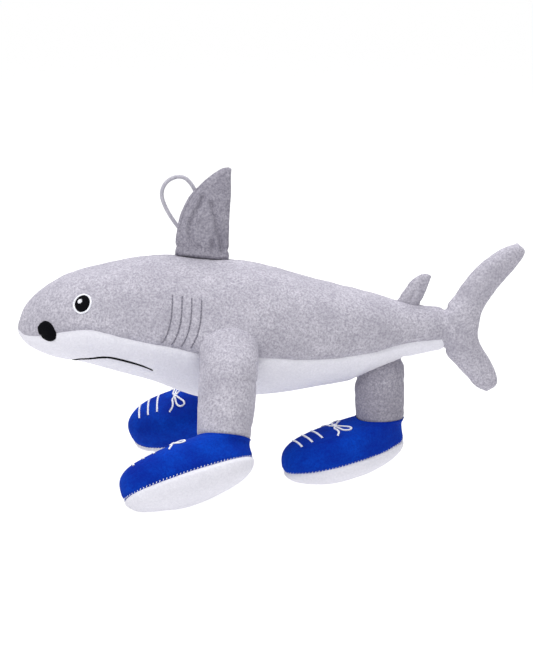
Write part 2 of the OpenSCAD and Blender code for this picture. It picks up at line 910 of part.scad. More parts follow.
module gill_stitches() {
    color(GILL_GREY) both_sides()
        for (i = [0 : gill_count - 1])
            stitch_line(
                [for (w = [0 : 0.2 : 1])
                    [first_gill + i * gill_pitch - gill_sweep * w ^ 3, gill_top + gill_drop * w + i]],
                thread
            );
}

// Half the mouth, from under the nose to its corner
mouth_half = [
    [0.128, 167], [0.142, 148], [0.167, 136], [0.203, 125], [0.24, 124], [0.285, 127], [0.313, 131]
];

module mouth_stitches() {
    left = [for (i = [len(mouth_half) - 1 : -1 : 0]) mouth_half[i]];
    right = [for (place = mouth_half) [place[0], 360 - place[1]]];
    color(BLACK) stitch_line(concat(left, [[0.124, 180]], right), thread * 1.4);
}

back_left();
back_right();
belly();
body_stuffing();
dorsal_fin_left();
dorsal_fin_right();
dorsal_fin_stuffing();
hang_loop();
rear_dorsal_left();
rear_dorsal_right();
rear_dorsal_stuffing();
tail_fin_left();
tail_fin_right();
tail_fin_stuffing();
front_left_leg();
front_left_leg_stuffing();
front_left_shoe_upper();
front_left_shoe_sole();
front_left_shoe_stuffing();
front_left_laces();
front_right_leg();
front_right_leg_stuffing();
front_right_shoe_upper();
front_right_shoe_sole();
front_right_shoe_stuffing();
front_right_laces();
rear_leg();
rear_leg_stuffing();
rear_shoe_upper();
rear_shoe_sole();
rear_shoe_stuffing();
rear_laces();
eye_rings();
pupils();
eye_glints();
nostrils();
gill_stitches();
mouth_stitches();
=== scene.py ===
import json
import math

import bmesh
import bpy
import numpy as np
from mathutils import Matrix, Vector
from mathutils.bvhtree import BVHTree
from mathutils.kdtree import KDTree


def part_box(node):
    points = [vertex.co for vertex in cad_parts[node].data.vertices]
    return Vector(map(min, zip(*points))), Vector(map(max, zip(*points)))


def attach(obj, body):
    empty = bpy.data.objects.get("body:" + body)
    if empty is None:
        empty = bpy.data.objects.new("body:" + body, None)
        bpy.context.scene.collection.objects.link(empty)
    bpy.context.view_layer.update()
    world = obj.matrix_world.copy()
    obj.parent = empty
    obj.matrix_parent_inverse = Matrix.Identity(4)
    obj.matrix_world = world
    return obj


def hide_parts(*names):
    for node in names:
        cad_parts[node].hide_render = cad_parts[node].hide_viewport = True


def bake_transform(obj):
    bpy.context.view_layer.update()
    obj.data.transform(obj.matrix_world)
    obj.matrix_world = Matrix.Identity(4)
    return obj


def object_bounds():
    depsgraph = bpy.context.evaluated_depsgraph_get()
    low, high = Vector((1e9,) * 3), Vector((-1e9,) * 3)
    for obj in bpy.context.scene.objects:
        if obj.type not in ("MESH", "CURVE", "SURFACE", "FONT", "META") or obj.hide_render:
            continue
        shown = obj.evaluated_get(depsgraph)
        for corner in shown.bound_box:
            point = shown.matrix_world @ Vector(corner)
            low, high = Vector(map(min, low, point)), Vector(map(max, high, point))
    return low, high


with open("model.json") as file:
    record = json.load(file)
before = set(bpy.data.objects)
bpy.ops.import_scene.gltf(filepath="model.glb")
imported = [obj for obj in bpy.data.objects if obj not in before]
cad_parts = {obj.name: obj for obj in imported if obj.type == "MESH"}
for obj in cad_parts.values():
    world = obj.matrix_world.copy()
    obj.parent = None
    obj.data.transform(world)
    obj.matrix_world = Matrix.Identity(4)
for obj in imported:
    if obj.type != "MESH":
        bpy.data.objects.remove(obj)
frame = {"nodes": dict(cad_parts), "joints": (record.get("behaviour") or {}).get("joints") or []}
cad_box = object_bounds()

# Shapes are worked out in millimetres, and turned into metres when a piece is made.
# The nose points to -X, the toy's left side is -Y and +Z is up.
MM = 0.001
LEFT, RIGHT = -1, 1
scene = bpy.context.scene


# ---- What the frame says ----

def mm_box(*nodes):
    """The lowest and highest corners of CAD nodes together."""
    lows, highs = zip(*[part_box(n) for n in nodes])
    return np.min(lows, axis=0) / MM, np.max(highs, axis=0) / MM


def joint_place(name):
    """A joint's pivot and axis."""
    joint = next(j for j in frame["joints"] if j["name"] == name)
    return np.array(joint["pos_m"]) / MM, np.array(joint["axis"], float)


def node_points(*nodes):
    """The vertices of CAD nodes."""
    return np.array([v.co for n in nodes for v in frame["nodes"][n].data.vertices]) / MM


# ---- Numbers ----

def unit(v):
    v = np.asarray(v, float)
    return v / np.maximum(np.linalg.norm(v, axis=-1, keepdims=True), 1e-9)


def curve(table, col, t):
    """One column of a table of ratios, smoothly, at t in its first column."""
    table = np.asarray(table, float)
    x, v = table[:, 0], table[:, col]
    before = np.maximum(np.arange(len(x)) - 1, 0)
    after = np.minimum(np.arange(len(x)) + 1, len(x) - 1)
    slopes = (v[after] - v[before]) / (x[after] - x[before])
    t = np.clip(t, x[0], x[-1])
    i = np.clip(np.searchsorted(x, t, side="right") - 1, 0, len(x) - 2)
    span = x[i + 1] - x[i]
    u = (t - x[i]) / span
    return (
        v[i] * (2 * u**3 - 3 * u**2 + 1) + slopes[i] * span * (u**3 - 2 * u**2 + u)
        + v[i + 1] * (3 * u**2 - 2 * u**3) + slopes[i + 1] * span * (u**3 - u**2)
    )


def smooth(x):
    """From 0 to 1 without a corner at either end."""
    x = np.clip(x, 0, 1)
    return x * x * (3 - 2 * x)


def lattice(i, seed):
    """Values from 0 to 1 at whole-number places, always the same. Large primes scatter them."""
    n = i[..., 0] * 73856093 ^ i[..., 1] * 19349663 ^ i[..., 2] * 83492791 ^ (seed * 97531)
    n = (n ^ (n >> 13)) & 0xFFFFFFF
    n = (n * 1274126177) & 0xFFFFFFFF
    return ((n ^ (n >> 15)) & 0xFFFF) / 65535.0


def noise(p, size, seed=0):
    """Smooth noise from -1 to 1, with lumps about size across."""
    q = np.asarray(p, float) / size
    base = np.floor(q).astype(np.int64)
    f = smooth(q - base)
    total = 0
    for corner in np.ndindex(2, 2, 2):
        c = np.array(corner)
        total = total + np.prod(np.where(c == 1, f, 1 - f), axis=-1) * lattice(base + c, seed)
    return 2 * total - 1


def smooth_path(route, samples):
    """A Catmull-Rom path through points."""
    route = np.asarray(route, float)
    last = len(route) - 1
    out = []
    for i in range(last):
        p, q = route[max(i - 1, 0)], route[i]
        r, s = route[i + 1], route[min(i + 2, last)]
        for k in range(samples):
            u = k / samples
            out.append(0.5 * (
                2 * q + (r - p) * u + (2 * p - 5 * q + 4 * r - s) * u**2
                + (3 * q - p - 3 * r + s) * u**3
            ))
    return np.array(out + [route[last]])


def resampled(path, step):
    """A path again, with points a step apart."""
    path = np.asarray(path, float)
    along = np.concatenate([[0], np.cumsum(np.linalg.norm(np.diff(path, axis=0), axis=1))])
    at = np.linspace(0, along[-1], max(2, int(math.ceil(along[-1] / step)) + 1))
    return np.stack([np.interp(at, along, path[:, k]) for k in range(path.shape[1])], axis=1)


# ---- Meshes ----

def ring_faces(rows, cols):
    """Quads over closed rows of points."""
    i, j = np.meshgrid(np.arange(rows - 1), np.arange(cols), indexing="ij")
    after = (j + 1) % cols
    a = i * cols
    quads = np.stack([a + j, a + after, a + cols + after, a + cols + j], axis=-1)
    return [tuple(q) for q in quads.reshape(-1, 4).tolist()]


def fan(pole, cols, first):
    """Triangles from a pole to a closed row of points."""
    return [(pole, first + (j + 1) % cols, first + j) for j in range(cols)]


def turned_out(points, faces):
    """The faces of a closed form, all turned outwards."""
    mesh = bmesh.new()
    made = [mesh.verts.new(p) for p in points]
    kept = [mesh.faces.new([made[v] for v in f]) for f in faces]
    mesh.verts.index_update()
    bmesh.ops.recalc_face_normals(mesh, faces=kept)
    out = [tuple(v.index for v in face.verts) for face in kept]
    mesh.free()
    return out


def normals_of(points, faces):
    """Smooth vertex normals."""
    mesh = bpy.data.meshes.new("scratch")
    mesh.from_pydata(points.tolist(), [], faces)
    mesh.update()
    out = np.zeros(len(points) * 3)
    mesh.vertices.foreach_get("normal", out)
    bpy.data.meshes.remove(mesh)
    return out.reshape(-1, 3)


def piece(name, points, faces, finish):
    """A smooth mesh piece, made from millimetres. A finish is a material and its slot."""
    material, slot = finish
    mesh = bpy.data.meshes.new(name)
    mesh.from_pydata((np.asarray(points) * MM).tolist(), [], faces)
    mesh.validate()
    mesh.shade_smooth()
    mesh.materials.append(material)
    made = bpy.data.objects.new(name, mesh)
    scene.collection.objects.link(made)
    return made


def joined(parts):
    """Several (points, faces) as one."""
    points, faces, first = [], [], 0
    for p, f in parts:
        points.append(p)
        faces += [tuple(v + first for v in face) for face in f]
        first += len(p)
    return np.concatenate(points), faces


def nearest(tree, points):
    """The places on a surface that are nearest to points, and its normals there."""
    found = [tree.find_nearest(Vector(p)) for p in points]
    return np.array([f[0] for f in found]), unit(np.array([f[1] for f in found]))


# ---- Sewing ----

# Step between the places on a seam line, and the length that sets one line's gathers apart from the next's
LINE_STEP, LINE_GAP = 0.6, 400
# The small lumps of stuffing: their height and size as shares of the large ones'
SMALL_HEIGHT, SMALL_SIZE = 0.35, 0.4
# The second wave of a seam's gathers: its height and pitch as shares of the first one's
SECOND_HEIGHT, SECOND_PITCH = 0.6, 0.47
# A crease's valley and the place of its swelling, in widths, and the swelling's share of its depth
VALLEY_WIDTH, SWELLING_PLACE, SWELLING = 3.2, 2.2, 0.35


def near_lines(points, lines):
    """How far points are from lines, and how far along the lines the nearest place is."""
    dense = [resampled(line, LINE_STEP) for line in lines]
    along = np.concatenate([np.arange(len(d)) * LINE_STEP + LINE_GAP * k for k, d in enumerate(dense)])
    tree = KDTree(len(along))
    for i, p in enumerate(np.concatenate(dense)):
        tree.insert(p, i)
    tree.balance()
    found = [tree.find(p) for p in points]
    return np.array([f[2] for f in found]), along[[f[1] for f in found]]


class Form:
    """A stuffed form: rings of points closed by two poles, and each face's row and column."""

    def __init__(self, rings, start, end):
        rows, cols = rings.shape[:2]
        self.points = np.concatenate([rings.reshape(-1, 3), [start, end]])
        poles = fan(rows * cols, cols, 0) + fan(rows * cols + 1, cols, (rows - 1) * cols)
        self.faces = turned_out(self.points, ring_faces(rows, cols) + poles)
        # The first pole's faces count as row -1, and the last one's as the number of rings
        self.row = np.repeat([*range(rows - 1), -1, rows], cols)
        self.col = np.tile(np.arange(cols), rows + 1)
        self.update()

    def update(self):
        """Work out the normals again, once points have moved."""
        self.normals = normals_of(self.points, self.faces)

    def lift(self, heights):
        self.points = self.points + self.normals * heights[:, None]

    def stuff(self, size, height, seed):
        """The soft unevenness of stuffing under the cloth."""
        fine = SMALL_HEIGHT * height * noise(self.points, size * SMALL_SIZE, seed + 3)
        self.lift(height * noise(self.points, size, seed) + fine)
        self.update()

    def sew(self, lines, depth, width, gather, pitch, reach, seed):
        """Draw the form in along seams, with small gathers of the cloth beside them."""
        away, along = near_lines(self.points, lines)
        place = np.stack([along, 0 * along, 0 * along], axis=1)
        wave = noise(place, pitch, seed) + SECOND_HEIGHT * noise(place, pitch * SECOND_PITCH, seed + 7)
        drawn = -depth * np.exp(-((away / width) ** 2))
        self.lift(drawn + gather * wave * (away / reach) * np.exp(1 - away / reach))

    def crease(self, lines, depth, width, valley=0.0):
        """Press folds in, each with a swelling beside it, in a broad valley if it has one."""
        away, _ = near_lines(self.points, lines)
        broad = valley * np.exp(-((away / (VALLEY_WIDTH * width)) ** 2))
        beside = (away - SWELLING_PLACE * width) / width
        pressed = -depth * np.exp(-((away / width) ** 2)) - broad
        self.lift(pressed + SWELLING * depth * np.exp(-(beside**2)))

    def panel(self, name, mask, thickness, finish, fill, nodes):
        """A closed sheet of cloth over some of the faces, which stands for CAD nodes."""
        faces = [self.faces[i] for i in np.flatnonzero(mask)]
        used = np.unique(np.concatenate([np.asarray(f) for f in faces]))
        count = len(used)
        place = {int(v): k for k, v in enumerate(used)}
        top = [tuple(place[v] for v in f) for f in faces]
        under = [tuple(count + v for v in reversed(f)) for f in top]
        edges = {(f[k], f[(k + 1) % len(f)]) for f in top for k in range(len(f))}
        rim = [(b, a, count + a, count + b) for a, b in sorted(edges) if (b, a) not in edges]
        outer = self.points[used]
        depth = np.broadcast_to(thickness, (len(self.points), 1))[used]
        points = np.concatenate([outer, outer - self.normals[used] * depth])
        made = piece(name, points, top + under + rim, finish)
        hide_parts(*nodes)
        return made


# ---- Thread ----

SIDES = 5


def threads(paths, ups, radius):
    """Closed tapering threads along many short paths, all with the same number of points."""
    count, steps = paths.shape[:2]
    along = unit(np.gradient(paths, axis=1))
    ups = np.broadcast_to(ups if ups.ndim == 3 else ups[:, None, :], paths.shape)
    across = unit(np.cross(ups, along))
    over = np.cross(along, across)
    share = np.linspace(-1, 1, steps)[1:-1]
    thick = radius * np.sqrt(1 - 0.8 * share**4)
    turn = np.arange(SIDES) * 2 * np.pi / SIDES
    ring = (
        np.cos(turn)[None, None, :, None] * across[:, 1:-1, None, :]
        + np.sin(turn)[None, None, :, None] * over[:, 1:-1, None, :]
    )
    body = paths[:, 1:-1, None, :] + ring * thick[None, :, None, None]
    rows = steps - 2
    size = rows * SIDES + 2
    body = body.reshape(count, rows * SIDES, 3)
    points = np.concatenate([body, paths[:, :1], paths[:, -1:]], axis=1)
    one = [tuple(reversed(f)) for f in ring_faces(rows, SIDES) + fan(rows * SIDES, SIDES, 0)]
    one += fan(size - 1, SIDES, size - 2 - SIDES)
    faces = [tuple(v + size * k for v in f) for k in range(count) for f in one]
    return points.reshape(-1, 3), faces


def satin(path, ups, width, height, pitch=0.5, slant=0.2, radius=0.28, closed=False):
    """Satin stitches laid side by side across a line. ups are the surface's normals there."""
    both = resampled(np.concatenate([path, ups], axis=1), pitch)
    path, ups = both[:, :3], unit(both[:, 3:])
    if closed:
        path, ups = path[:-1], ups[:-1]
    along = unit(np.gradient(path, axis=0))
    side = unit(np.cross(ups, along))
    width = np.atleast_1d(width)
    widths = np.interp(np.linspace(0, 1, len(path)), np.linspace(0, 1, len(width)), width)
    reach = np.linspace(-1, 1, 7)
    dome = height * np.sqrt(1 - 0.9 * reach**2) - 0.5 * np.abs(reach) ** 6
    lines = (
        path[:, None, :]
        + side[:, None, :] * (reach[None, :] * widths[:, None] / 2)[..., None]
        + along[:, None, :] * (reach * slant)[None, :, None]
        + ups[:, None, :] * dome[None, :, None]
    )
    return threads(lines, ups, radius)


def embroidery(name, parts, finish, body, *nodes):
    """Stitches made as one piece, which rides on a body and may stand for CAD nodes."""
    made = piece(name, *joined(parts), finish)
    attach(made, body)
    if nodes:
        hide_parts(*nodes)


# ---- Camera ----

box_middle = (np.array(cad_box[0]) + np.array(cad_box[1])) / 2
AIM_SHIFT = np.array([-0.0033, 0.0, -0.0056])
CAMERA_DISTANCE = 1.2
CAMERA_ELEVATION = math.radians(10.2)
# How far the camera is turned towards the nose
CAMERA_TURN = math.radians(2)
aim = Vector(box_middle + AIM_SHIFT)
level = math.cos(CAMERA_ELEVATION)
back = Vector((-level * math.sin(CAMERA_TURN), -level * math.cos(CAMERA_TURN), math.sin(CAMERA_ELEVATION)))
camera_data = bpy.data.cameras.new("camera")
camera_data.sensor_width = 36
camera_data.lens = 108
camera = bpy.data.objects.new("camera", camera_data)
camera.location = aim + back * CAMERA_DISTANCE
camera.rotation_euler = (-back).to_track_quat("-Z", "Y").to_euler()
scene.collection.objects.link(camera)
scene.camera = camera


# ---- Materials ----

def linear(rgb):
    """A colour on screen, from 0 to 255, as the shader takes it."""
    c = np.array(rgb) / 255
    return (*np.where(c <= 0.04045, c / 12.92, ((c + 0.055) / 1.055) ** 2.4), 1.0)


def set_inputs(node, values):
    for key, value in values.items():
        node.inputs[key].default_value = value


class Nodes:
    """A material's node tree, with short ways to add nodes and join them."""

    def __init__(self, name):
        self.material = bpy.data.materials.new(name)
        self.material.use_nodes = True
        self.tree = self.material.node_tree
        self.tree.nodes.clear()
        self.shader = self.add("ShaderNodeBsdfPrincipled")
        self.join(self.shader, "BSDF", self.add("ShaderNodeOutputMaterial"), "Surface")
        self.place = self.add("ShaderNodeTexCoord")

    def add(self, kind, inputs=None, **settings):
        node = self.tree.nodes.new(kind)
        for key, value in settings.items():
            setattr(node, key, value)
        set_inputs(node, inputs or {})
        return node

    def join(self, a, out, b, into):
        self.tree.links.new(a.outputs[out], b.inputs[into])

    def noise(self, scale, detail=2.0, stretch=(1, 1, 1), roughness=0.5):
        """Noise over the object, scale in lumps per metre."""
        node = self.add("ShaderNodeTexNoise", {"Scale": scale, "Detail": detail, "Roughness": roughness})
        mapping = self.add("ShaderNodeMapping", {"Scale": stretch})
        self.join(self.place, "Object", mapping, "Vector")
        self.join(mapping, "Vector", node, "Vector")
        return node

    def ramp(self, source, low, dark):
        """A grey from dark to white as a noise goes from low to as much under 1."""
        limits = {"From Min": low, "From Max": 1 - low, "To Min": dark, "To Max": 1.0}
        node = self.add("ShaderNodeMapRange", limits)
        self.join(source, 0, node, "Value")
        return node

    def times(self, a, b):
        node = self.add("ShaderNodeMath", operation="MULTIPLY")
        self.join(a, 0, node, 0)
        self.join(b, 0, node, 1)
        return node

    def coloured(self, rgb, shade_rgb, factor):
        """The base colour between a shade and a full colour."""
        node = self.add("ShaderNodeMix", {"A": linear(shade_rgb), "B": linear(rgb)}, data_type="RGBA")
        self.join(factor, 0, node, "Factor")
        self.join(node, "Result", self.shader, "Base Color")

    def bumps(self, *layers):
        """Bump from several noises, each with its strength and depth in metres."""
        before = None
        for source, strength, depth in layers:
            node = self.add("ShaderNodeBump", {"Strength": strength, "Distance": depth})
            self.join(source, 0, node, "Height")
            if before:
                self.join(before, "Normal", node, "Normal")
            before = node
        self.join(before, "Normal", self.shader, "Normal")

    def finish(self, roughness, sheen, sheen_roughness, tint, specular):
        set_inputs(self.shader, {
            "Roughness": roughness, "Sheen Weight": sheen, "Sheen Roughness": sheen_roughness,
            "Sheen Tint": linear(tint), "Specular IOR Level": specular,
        })
        return self.material


def plush(slot, rgb, shade_rgb, tint, cloud, grain, sheen, name=None):
    """Short brushed pile: soft clouds where it was stroked, tufts, and a fine grain of fibre ends."""
    n = Nodes(name or slot)
    clouds = n.noise(scale=38, detail=4, stretch=(1.0, 1.5, 1.5), roughness=0.6)
    tufts = n.noise(scale=260, stretch=(0.8, 1.2, 1.2), roughness=0.6)
    fibres = n.noise(scale=820, roughness=0.7)
    fine = n.times(n.ramp(tufts, 0.3, 1 - 0.3 * grain), n.ramp(fibres, 0.34, 1 - grain))
    n.coloured(rgb, shade_rgb, n.times(n.ramp(clouds, 0.34, 1 - cloud), fine))
    n.bumps((clouds, 0.3, 0.0014), (tufts, 0.5, 0.0007), (fibres, 0.8, 0.0005))
    return n.finish(roughness=0.95, sheen=sheen, sheen_roughness=0.45, tint=tint, specular=0.12), slot


def yarn(slot, rgb, shade_rgb, tint, scale=900, sheen=0.25, roughness=0.55, specular=0.3):
    """Embroidery thread or cord: fine glossy filaments with a twist."""
    n = Nodes(slot)
    twist = n.noise(scale, stretch=(1.0, 1.0, 0.35))
    fuzz = n.noise(scale * 2.2)
    n.coloured(rgb, shade_rgb, n.times(n.ramp(twist, 0.3, 0.45), n.ramp(fuzz, 0.3, 0.8)))
    n.bumps((twist, 0.4, 0.0003), (fuzz, 0.25, 0.00015))
    return n.finish(roughness, sheen, sheen_roughness=0.4, tint=tint, specular=specular), slot


GREY_PLUSH = plush("grey_plush", (206, 203, 213), (138, 135, 148), (225, 223, 235), 0.4, 0.8, 0.25)
# A darker copy of the grey plush, the same cloth: painted shade for the dorsal fin and the rear leg, which
# are darker in shadow
GREY_PLUSH_PAINTED_SHADE = plush(
    "grey_plush", (180, 177, 188), (114, 111, 124), (200, 198, 211), 0.45, 0.8, 0.15, "grey_plush_painted_shade"
)
WHITE_PLUSH = plush("white_plush", (229, 228, 236), (206, 205, 215), (236, 235, 243), 0.3, 0.5, 0.15)
BLUE_PLUSH = plush("blue_plush", (0, 66, 184), (0, 20, 128), (20, 100, 215), 0.7, 0.45, 0.1)
BLACK_THREAD = yarn(
    "black_thread", (9, 9, 16), (2, 2, 6), (40, 40, 52), sheen=0.02, roughness=0.7, specular=0.08
)
WHITE_THREAD = yarn("white_thread", (248, 248, 252), (222, 224, 236), (255, 255, 255))
GREY_THREAD = yarn("grey_thread", (134, 132, 144), (104, 102, 114), (170, 170, 180))
LOOP_CORD = yarn("loop_cord", (186, 184, 194), (150, 148, 160), (220, 220, 230), scale=700)


# ---- Hang loop, a cord that leaves the dorsal fin's right side and comes back to it ----

LOOP_ROUTE = [
    (-43.1, 3.4, 145.2), (-43.1, 6.5, 148.2), (-43.6, 8, 155.2), (-44.1, 8.5, 165.2),
    (-46.1, 8.5, 174.2), (-51.1, 8.5, 180.7), (-57.1, 8.5, 181.7), (-63.1, 8.5, 178.2),
    (-65.6, 8.5, 171.7), (-63.6, 8.5, 164.2), (-59.1, 8.5, 156.2), (-53.6, 8, 149.2),
    (-49.1, 6.5, 145.2), (-48.1, 3.4, 143.7),
]
LOOP_DIAMETER = 0.0024
loop_path = smooth_path(LOOP_ROUTE, 6) * MM
loop_curve = bpy.data.curves.new("hang_loop_cord", "CURVE")
loop_curve.dimensions = "3D"
loop_curve.bevel_depth = LOOP_DIAMETER / 2
loop_curve.bevel_resolution = 6
loop_curve.use_fill_caps = True
loop_spline = loop_curve.splines.new("POLY")
loop_spline.points.add(len(loop_path) - 1)
for spline_point, p in zip(loop_spline.points, loop_path):
    spline_point.co = (*p, 1)
loop_curve.materials.append(LOOP_CORD[0])
hang_loop = bpy.data.objects.new("hang_loop_cord", loop_curve)
scene.collection.objects.link(hang_loop)
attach(hang_loop, "dorsal_fin")
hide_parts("hang_loop")


# ---- Legs and shoes: where they stand ----

# Angles in degrees: each front leg splays out and sweeps back, and each shoe rolls, pitches and yaws
LEG_SPLAY, LEG_SWEEP = 23.0, 5.5
SHOE_ROLL, FRONT_PITCH, REAR_PITCH, REAR_YAW = 28.0, 19.5, 12.5, 17.0
FRONT_LEG_LENGTH, REAR_LEG_LENGTH = 45.0, 14.7
FRONT_RADII, REAR_RADII = (15.2, 16.9), (14.6, 14.6)
# How far the rear leg goes up from its ankle into the belly
REAR_LEG_RISE = 39.9
# Height at which the belly's seam crosses the rear leg, and how fast it rises towards the tail
REAR_SEAM_HEIGHT, REAR_SEAM_SLOPE = 65.5, 0.32
# Reach of the soft fillet where a leg is sewn to the side, and the heights it begins and is full at
FILLET, FILLET_LOW, FILLET_HIGH = 17.0, 79.0, 91.0
# Depth and reach of the pinch where a leg is sewn to the belly
PINCH_DEPTH, PINCH_REACH = 1.3, 2.6
# How far the front shoes' laces sit towards their outer sides
LACE_SHIFT = 2.5


def turned(points, axis, degrees):
    """Points turned about an axis through the origin. About Y, a positive angle lowers -X."""
    a = math.radians(degrees)
    c, s = math.cos(a), math.sin(a)
    x, y, z = points[..., 0], points[..., 1], points[..., 2]
    if axis == "X":
        return np.stack([x, y * c - z * s, y * s + z * c], axis=-1)
    if axis == "Z":
        return np.stack([x * c - y * s, x * s + y * c, z], axis=-1)
    return np.stack([x * c - z * s, y, x * s + z * c], axis=-1)


class Foot:
    """A leg and its shoe: the pivot it swings about, how it leans, and its sizes."""

    def __init__(self, name, joint, side, leg, shoe, length, radii, seed):
        self.name, self.side, self.length, self.radii, self.seed = name, side, length, radii, seed
        self.pivot, _ = joint_place(joint)
        self.body = f"{name}_foot"
        self.splay, self.sweep = side * leg[0], leg[1]
        self.roll, self.pitch, self.yaw = side * shoe[0], shoe[1], shoe[2]
        self.lace_shift = side * shoe[3]
        self.up, self.ahead, self.across = self.leaning(np.array([[0, 0, 1.0], [1.0, 0, 0], [0, 1.0, 0]]))
        self.ankle = self.pivot - self.up * length

    def leaning(self, v):
        """Directions of an upright leg, as this leg leans."""
        return turned(turned(v, "X", self.splay), "Y", -self.sweep)

    def shoe_world(self, p):
        """From the shoe's own axes, with the ankle as origin, to the toy's."""
        return self.ankle + turned(turned(turned(p, "Y", self.pitch), "X", self.roll), "Z", self.yaw)

    def collar(self, turn):
        """The shoe's collar, square to the leg, in the shoe's own axes. turn is in radians."""
        flat = self.radii[0] * np.stack([np.cos(turn), np.sin(turn), 0 * turn], axis=-1)
        return turned(turned(self.leaning(flat), "X", -self.roll), "Y", -self.pitch)

    def leg_point(self, height, turn, radius):
        """A point round the leg's line, at a height over the ankle."""
        height, turn, radius = np.broadcast_arrays(height, np.radians(turn), radius)
        return (
            self.ankle + height[..., None] * self.up
            + (radius * np.cos(turn))[..., None] * self.ahead
            + (radius * np.sin(turn))[..., None] * self.across
        )


FRONT = ((LEG_SPLAY, LEG_SWEEP), (SHOE_ROLL, FRONT_PITCH, 0.0, LACE_SHIFT), FRONT_LEG_LENGTH, FRONT_RADII)
FEET = [
    Foot("front_left", "front_left_leg_swing", LEFT, *FRONT, 51),
    Foot("front_right", "front_right_leg_swing", RIGHT, *FRONT, 61),
    Foot(
        "rear", "rear_leg_swing", LEFT, (0.0, 0.0), (0.0, REAR_PITCH, REAR_YAW, 0.0),
        REAR_LEG_LENGTH, REAR_RADII, 71,
    ),
]


def leg_distance(foot, points):
    """How far points are from the surface of a leg, below zero inside it."""
    over = (points - foot.ankle) @ foot.up
    high = np.clip(over, 0, foot.length if foot.name != "rear" else REAR_LEG_RISE)
    radius = foot.radii[0] + (foot.radii[1] - foot.radii[0]) * np.clip(high / foot.length, 0, 1)
    return np.linalg.norm(points - foot.ankle - high[:, None] * foot.up, axis=1) - radius


def sewn_on(away, height):
    """How far a skin is lifted at a leg's top: a soft fillet in the grey plush, a pinch below it."""
    soft = smooth((height - FILLET_LOW) / (FILLET_HIGH - FILLET_LOW))
    fillet = FILLET / 4 * (1 - np.clip(away, 0, FILLET) / FILLET) ** 2
    return fillet * soft - PINCH_DEPTH * np.exp(-((away / PINCH_REACH) ** 2)) * (1 - soft)


# ---- Body ----

# Fraction of the length, height over and depth under the widest line, and half width
BODY_SHAPE = [
    (0.00, 0.314, 0.178, 0.200), (0.08, 0.354, 0.210, 0.295), (0.15, 0.424, 0.236, 0.360),
    (0.30, 0.520, 0.360, 0.450), (0.43, 0.508, 0.497, 0.500), (0.55, 0.470, 0.480, 0.475),
    (0.70, 0.347, 0.426, 0.385), (0.82, 0.247, 0.345, 0.280), (0.91, 0.172, 0.220, 0.180),
    (1.00, 0.134, 0.165, 0.124),
]
# Fraction of the length, and the angle from the back down to the belly seam
SEAM_SHAPE = [
    (0.00, 112), (0.05, 97), (0.09, 88), (0.15, 83.6), (0.18, 84), (0.22, 87.5), (0.30, 95.3),
    (0.36, 98.5), (0.43, 102.5), (0.55, 107), (0.70, 115), (0.82, 116), (0.91, 117), (1.00, 119),
]
NOSE_PART = 0.12
body_low, body_high = mm_box("back_left", "back_right", "belly")
tail_hinge, _ = joint_place("tail_bend")


def peak(col):
    return curve(BODY_SHAPE, col, np.linspace(0, 1, 401)).max()


nose_x = body_low[0]
body_length = tail_hinge[0] - nose_x
body_depth = (body_high[2] - body_low[2]) / (peak(1) + peak(2))
axis_height = body_low[2] + peak(2) * body_depth
body_width = (body_high[1] - body_low[1]) / 2 / peak(3)


def body_point(t, angle):
    """A point of the body. The angle runs from the back to the left, in degrees."""
    t, angle = np.broadcast_arrays(np.asarray(t, float), np.radians(angle))
    blunt = np.sqrt(1 - (1 - np.minimum(t / NOSE_PART, 1)) ** 2)
    reach = np.where(np.cos(angle) > 0, curve(BODY_SHAPE, 1, t), curve(BODY_SHAPE, 2, t)) * body_depth
    half = curve(BODY_SHAPE, 3, t) * body_width
    return np.stack([
        nose_x + body_length * t,
        -half * blunt * np.sin(angle),
        axis_height + reach * blunt * np.cos(angle),
    ], axis=-1)


def seam_angle(t):
    return curve(SEAM_SHAPE, 1, t)


def spread(count):
    """Shares of a panel's width, closer together at its seams."""
    u = np.arange(count) / count
    return 0.55 * u + 0.45 * (1 - np.cos(np.pi * u)) / 2


BODY_ROWS, BACK_COLS, BELLY_COLS = 150, 44, 60
body_t = ((np.arange(BODY_ROWS) + 1) / BODY_ROWS)[:, None] ** 1.5
seam = seam_angle(body_t)
body_angles = np.concatenate([
    seam * spread(BACK_COLS),
    seam + (360 - 2 * seam) * spread(BELLY_COLS),
    360 - seam + seam * spread(BACK_COLS),
], axis=1)
body_rings = body_point(np.broadcast_to(body_t, body_angles.shape), body_angles)
tail_end = body_rings[-1]
end_middle = np.array([tail_end[0, 0], 0, (tail_end[:, 2].max() + tail_end[:, 2].min()) / 2])
# The cloth turns in at the tail's end: shares of the end's size, and how far on each ring is
TURNED_IN = ((0.97, 0.5), (0.90, 0.7), (0.78, 0.1), (0.66, -1.2))
tucked = [end_middle + (tail_end - end_middle) * share + [ahead, 0, 0] for share, ahead in TURNED_IN]
body = Form(np.concatenate([body_rings, tucked]), [nose_x, 0, axis_height], end_middle - [3, 0, 0])

t_line = np.linspace(0.003, 1, 500)
side_seams = [body_point(t_line, seam_angle(t_line)), body_point(t_line, 360 - seam_angle(t_line))]

# Gills: four lines a side, swept forward at the bottom
GILLS, FIRST_GILL, GILL_PITCH, GILL_SWEEP, GILL_TOP, GILL_DROP = 4, 0.361, 0.022, 0.028, 54.5, 41.5


def gill(i, side):
    w = np.linspace(0, 1, 60)
    t = FIRST_GILL + i * GILL_PITCH - GILL_SWEEP * w**3
    angle = GILL_TOP + GILL_DROP * w + i
    return body_point(t, angle if side == LEFT else 360 - angle)


gills = [gill(i, side) for side in (LEFT, RIGHT) for i in range(GILLS)]

# Half the mouth, from under the nose to its corner: fraction of the length and angle
MOUTH_HALF = [
    (0.128, 167), (0.142, 148), (0.167, 136), (0.203, 125), (0.24, 124), (0.285, 127), (0.313, 131),
]
mouth_places = smooth_path(
    MOUTH_HALF[::-1] + [(0.124, 180)] + [(t, 360 - angle) for t, angle in MOUTH_HALF], 12
)
mouth_line = body_point(mouth_places[:, 0], mouth_places[:, 1])

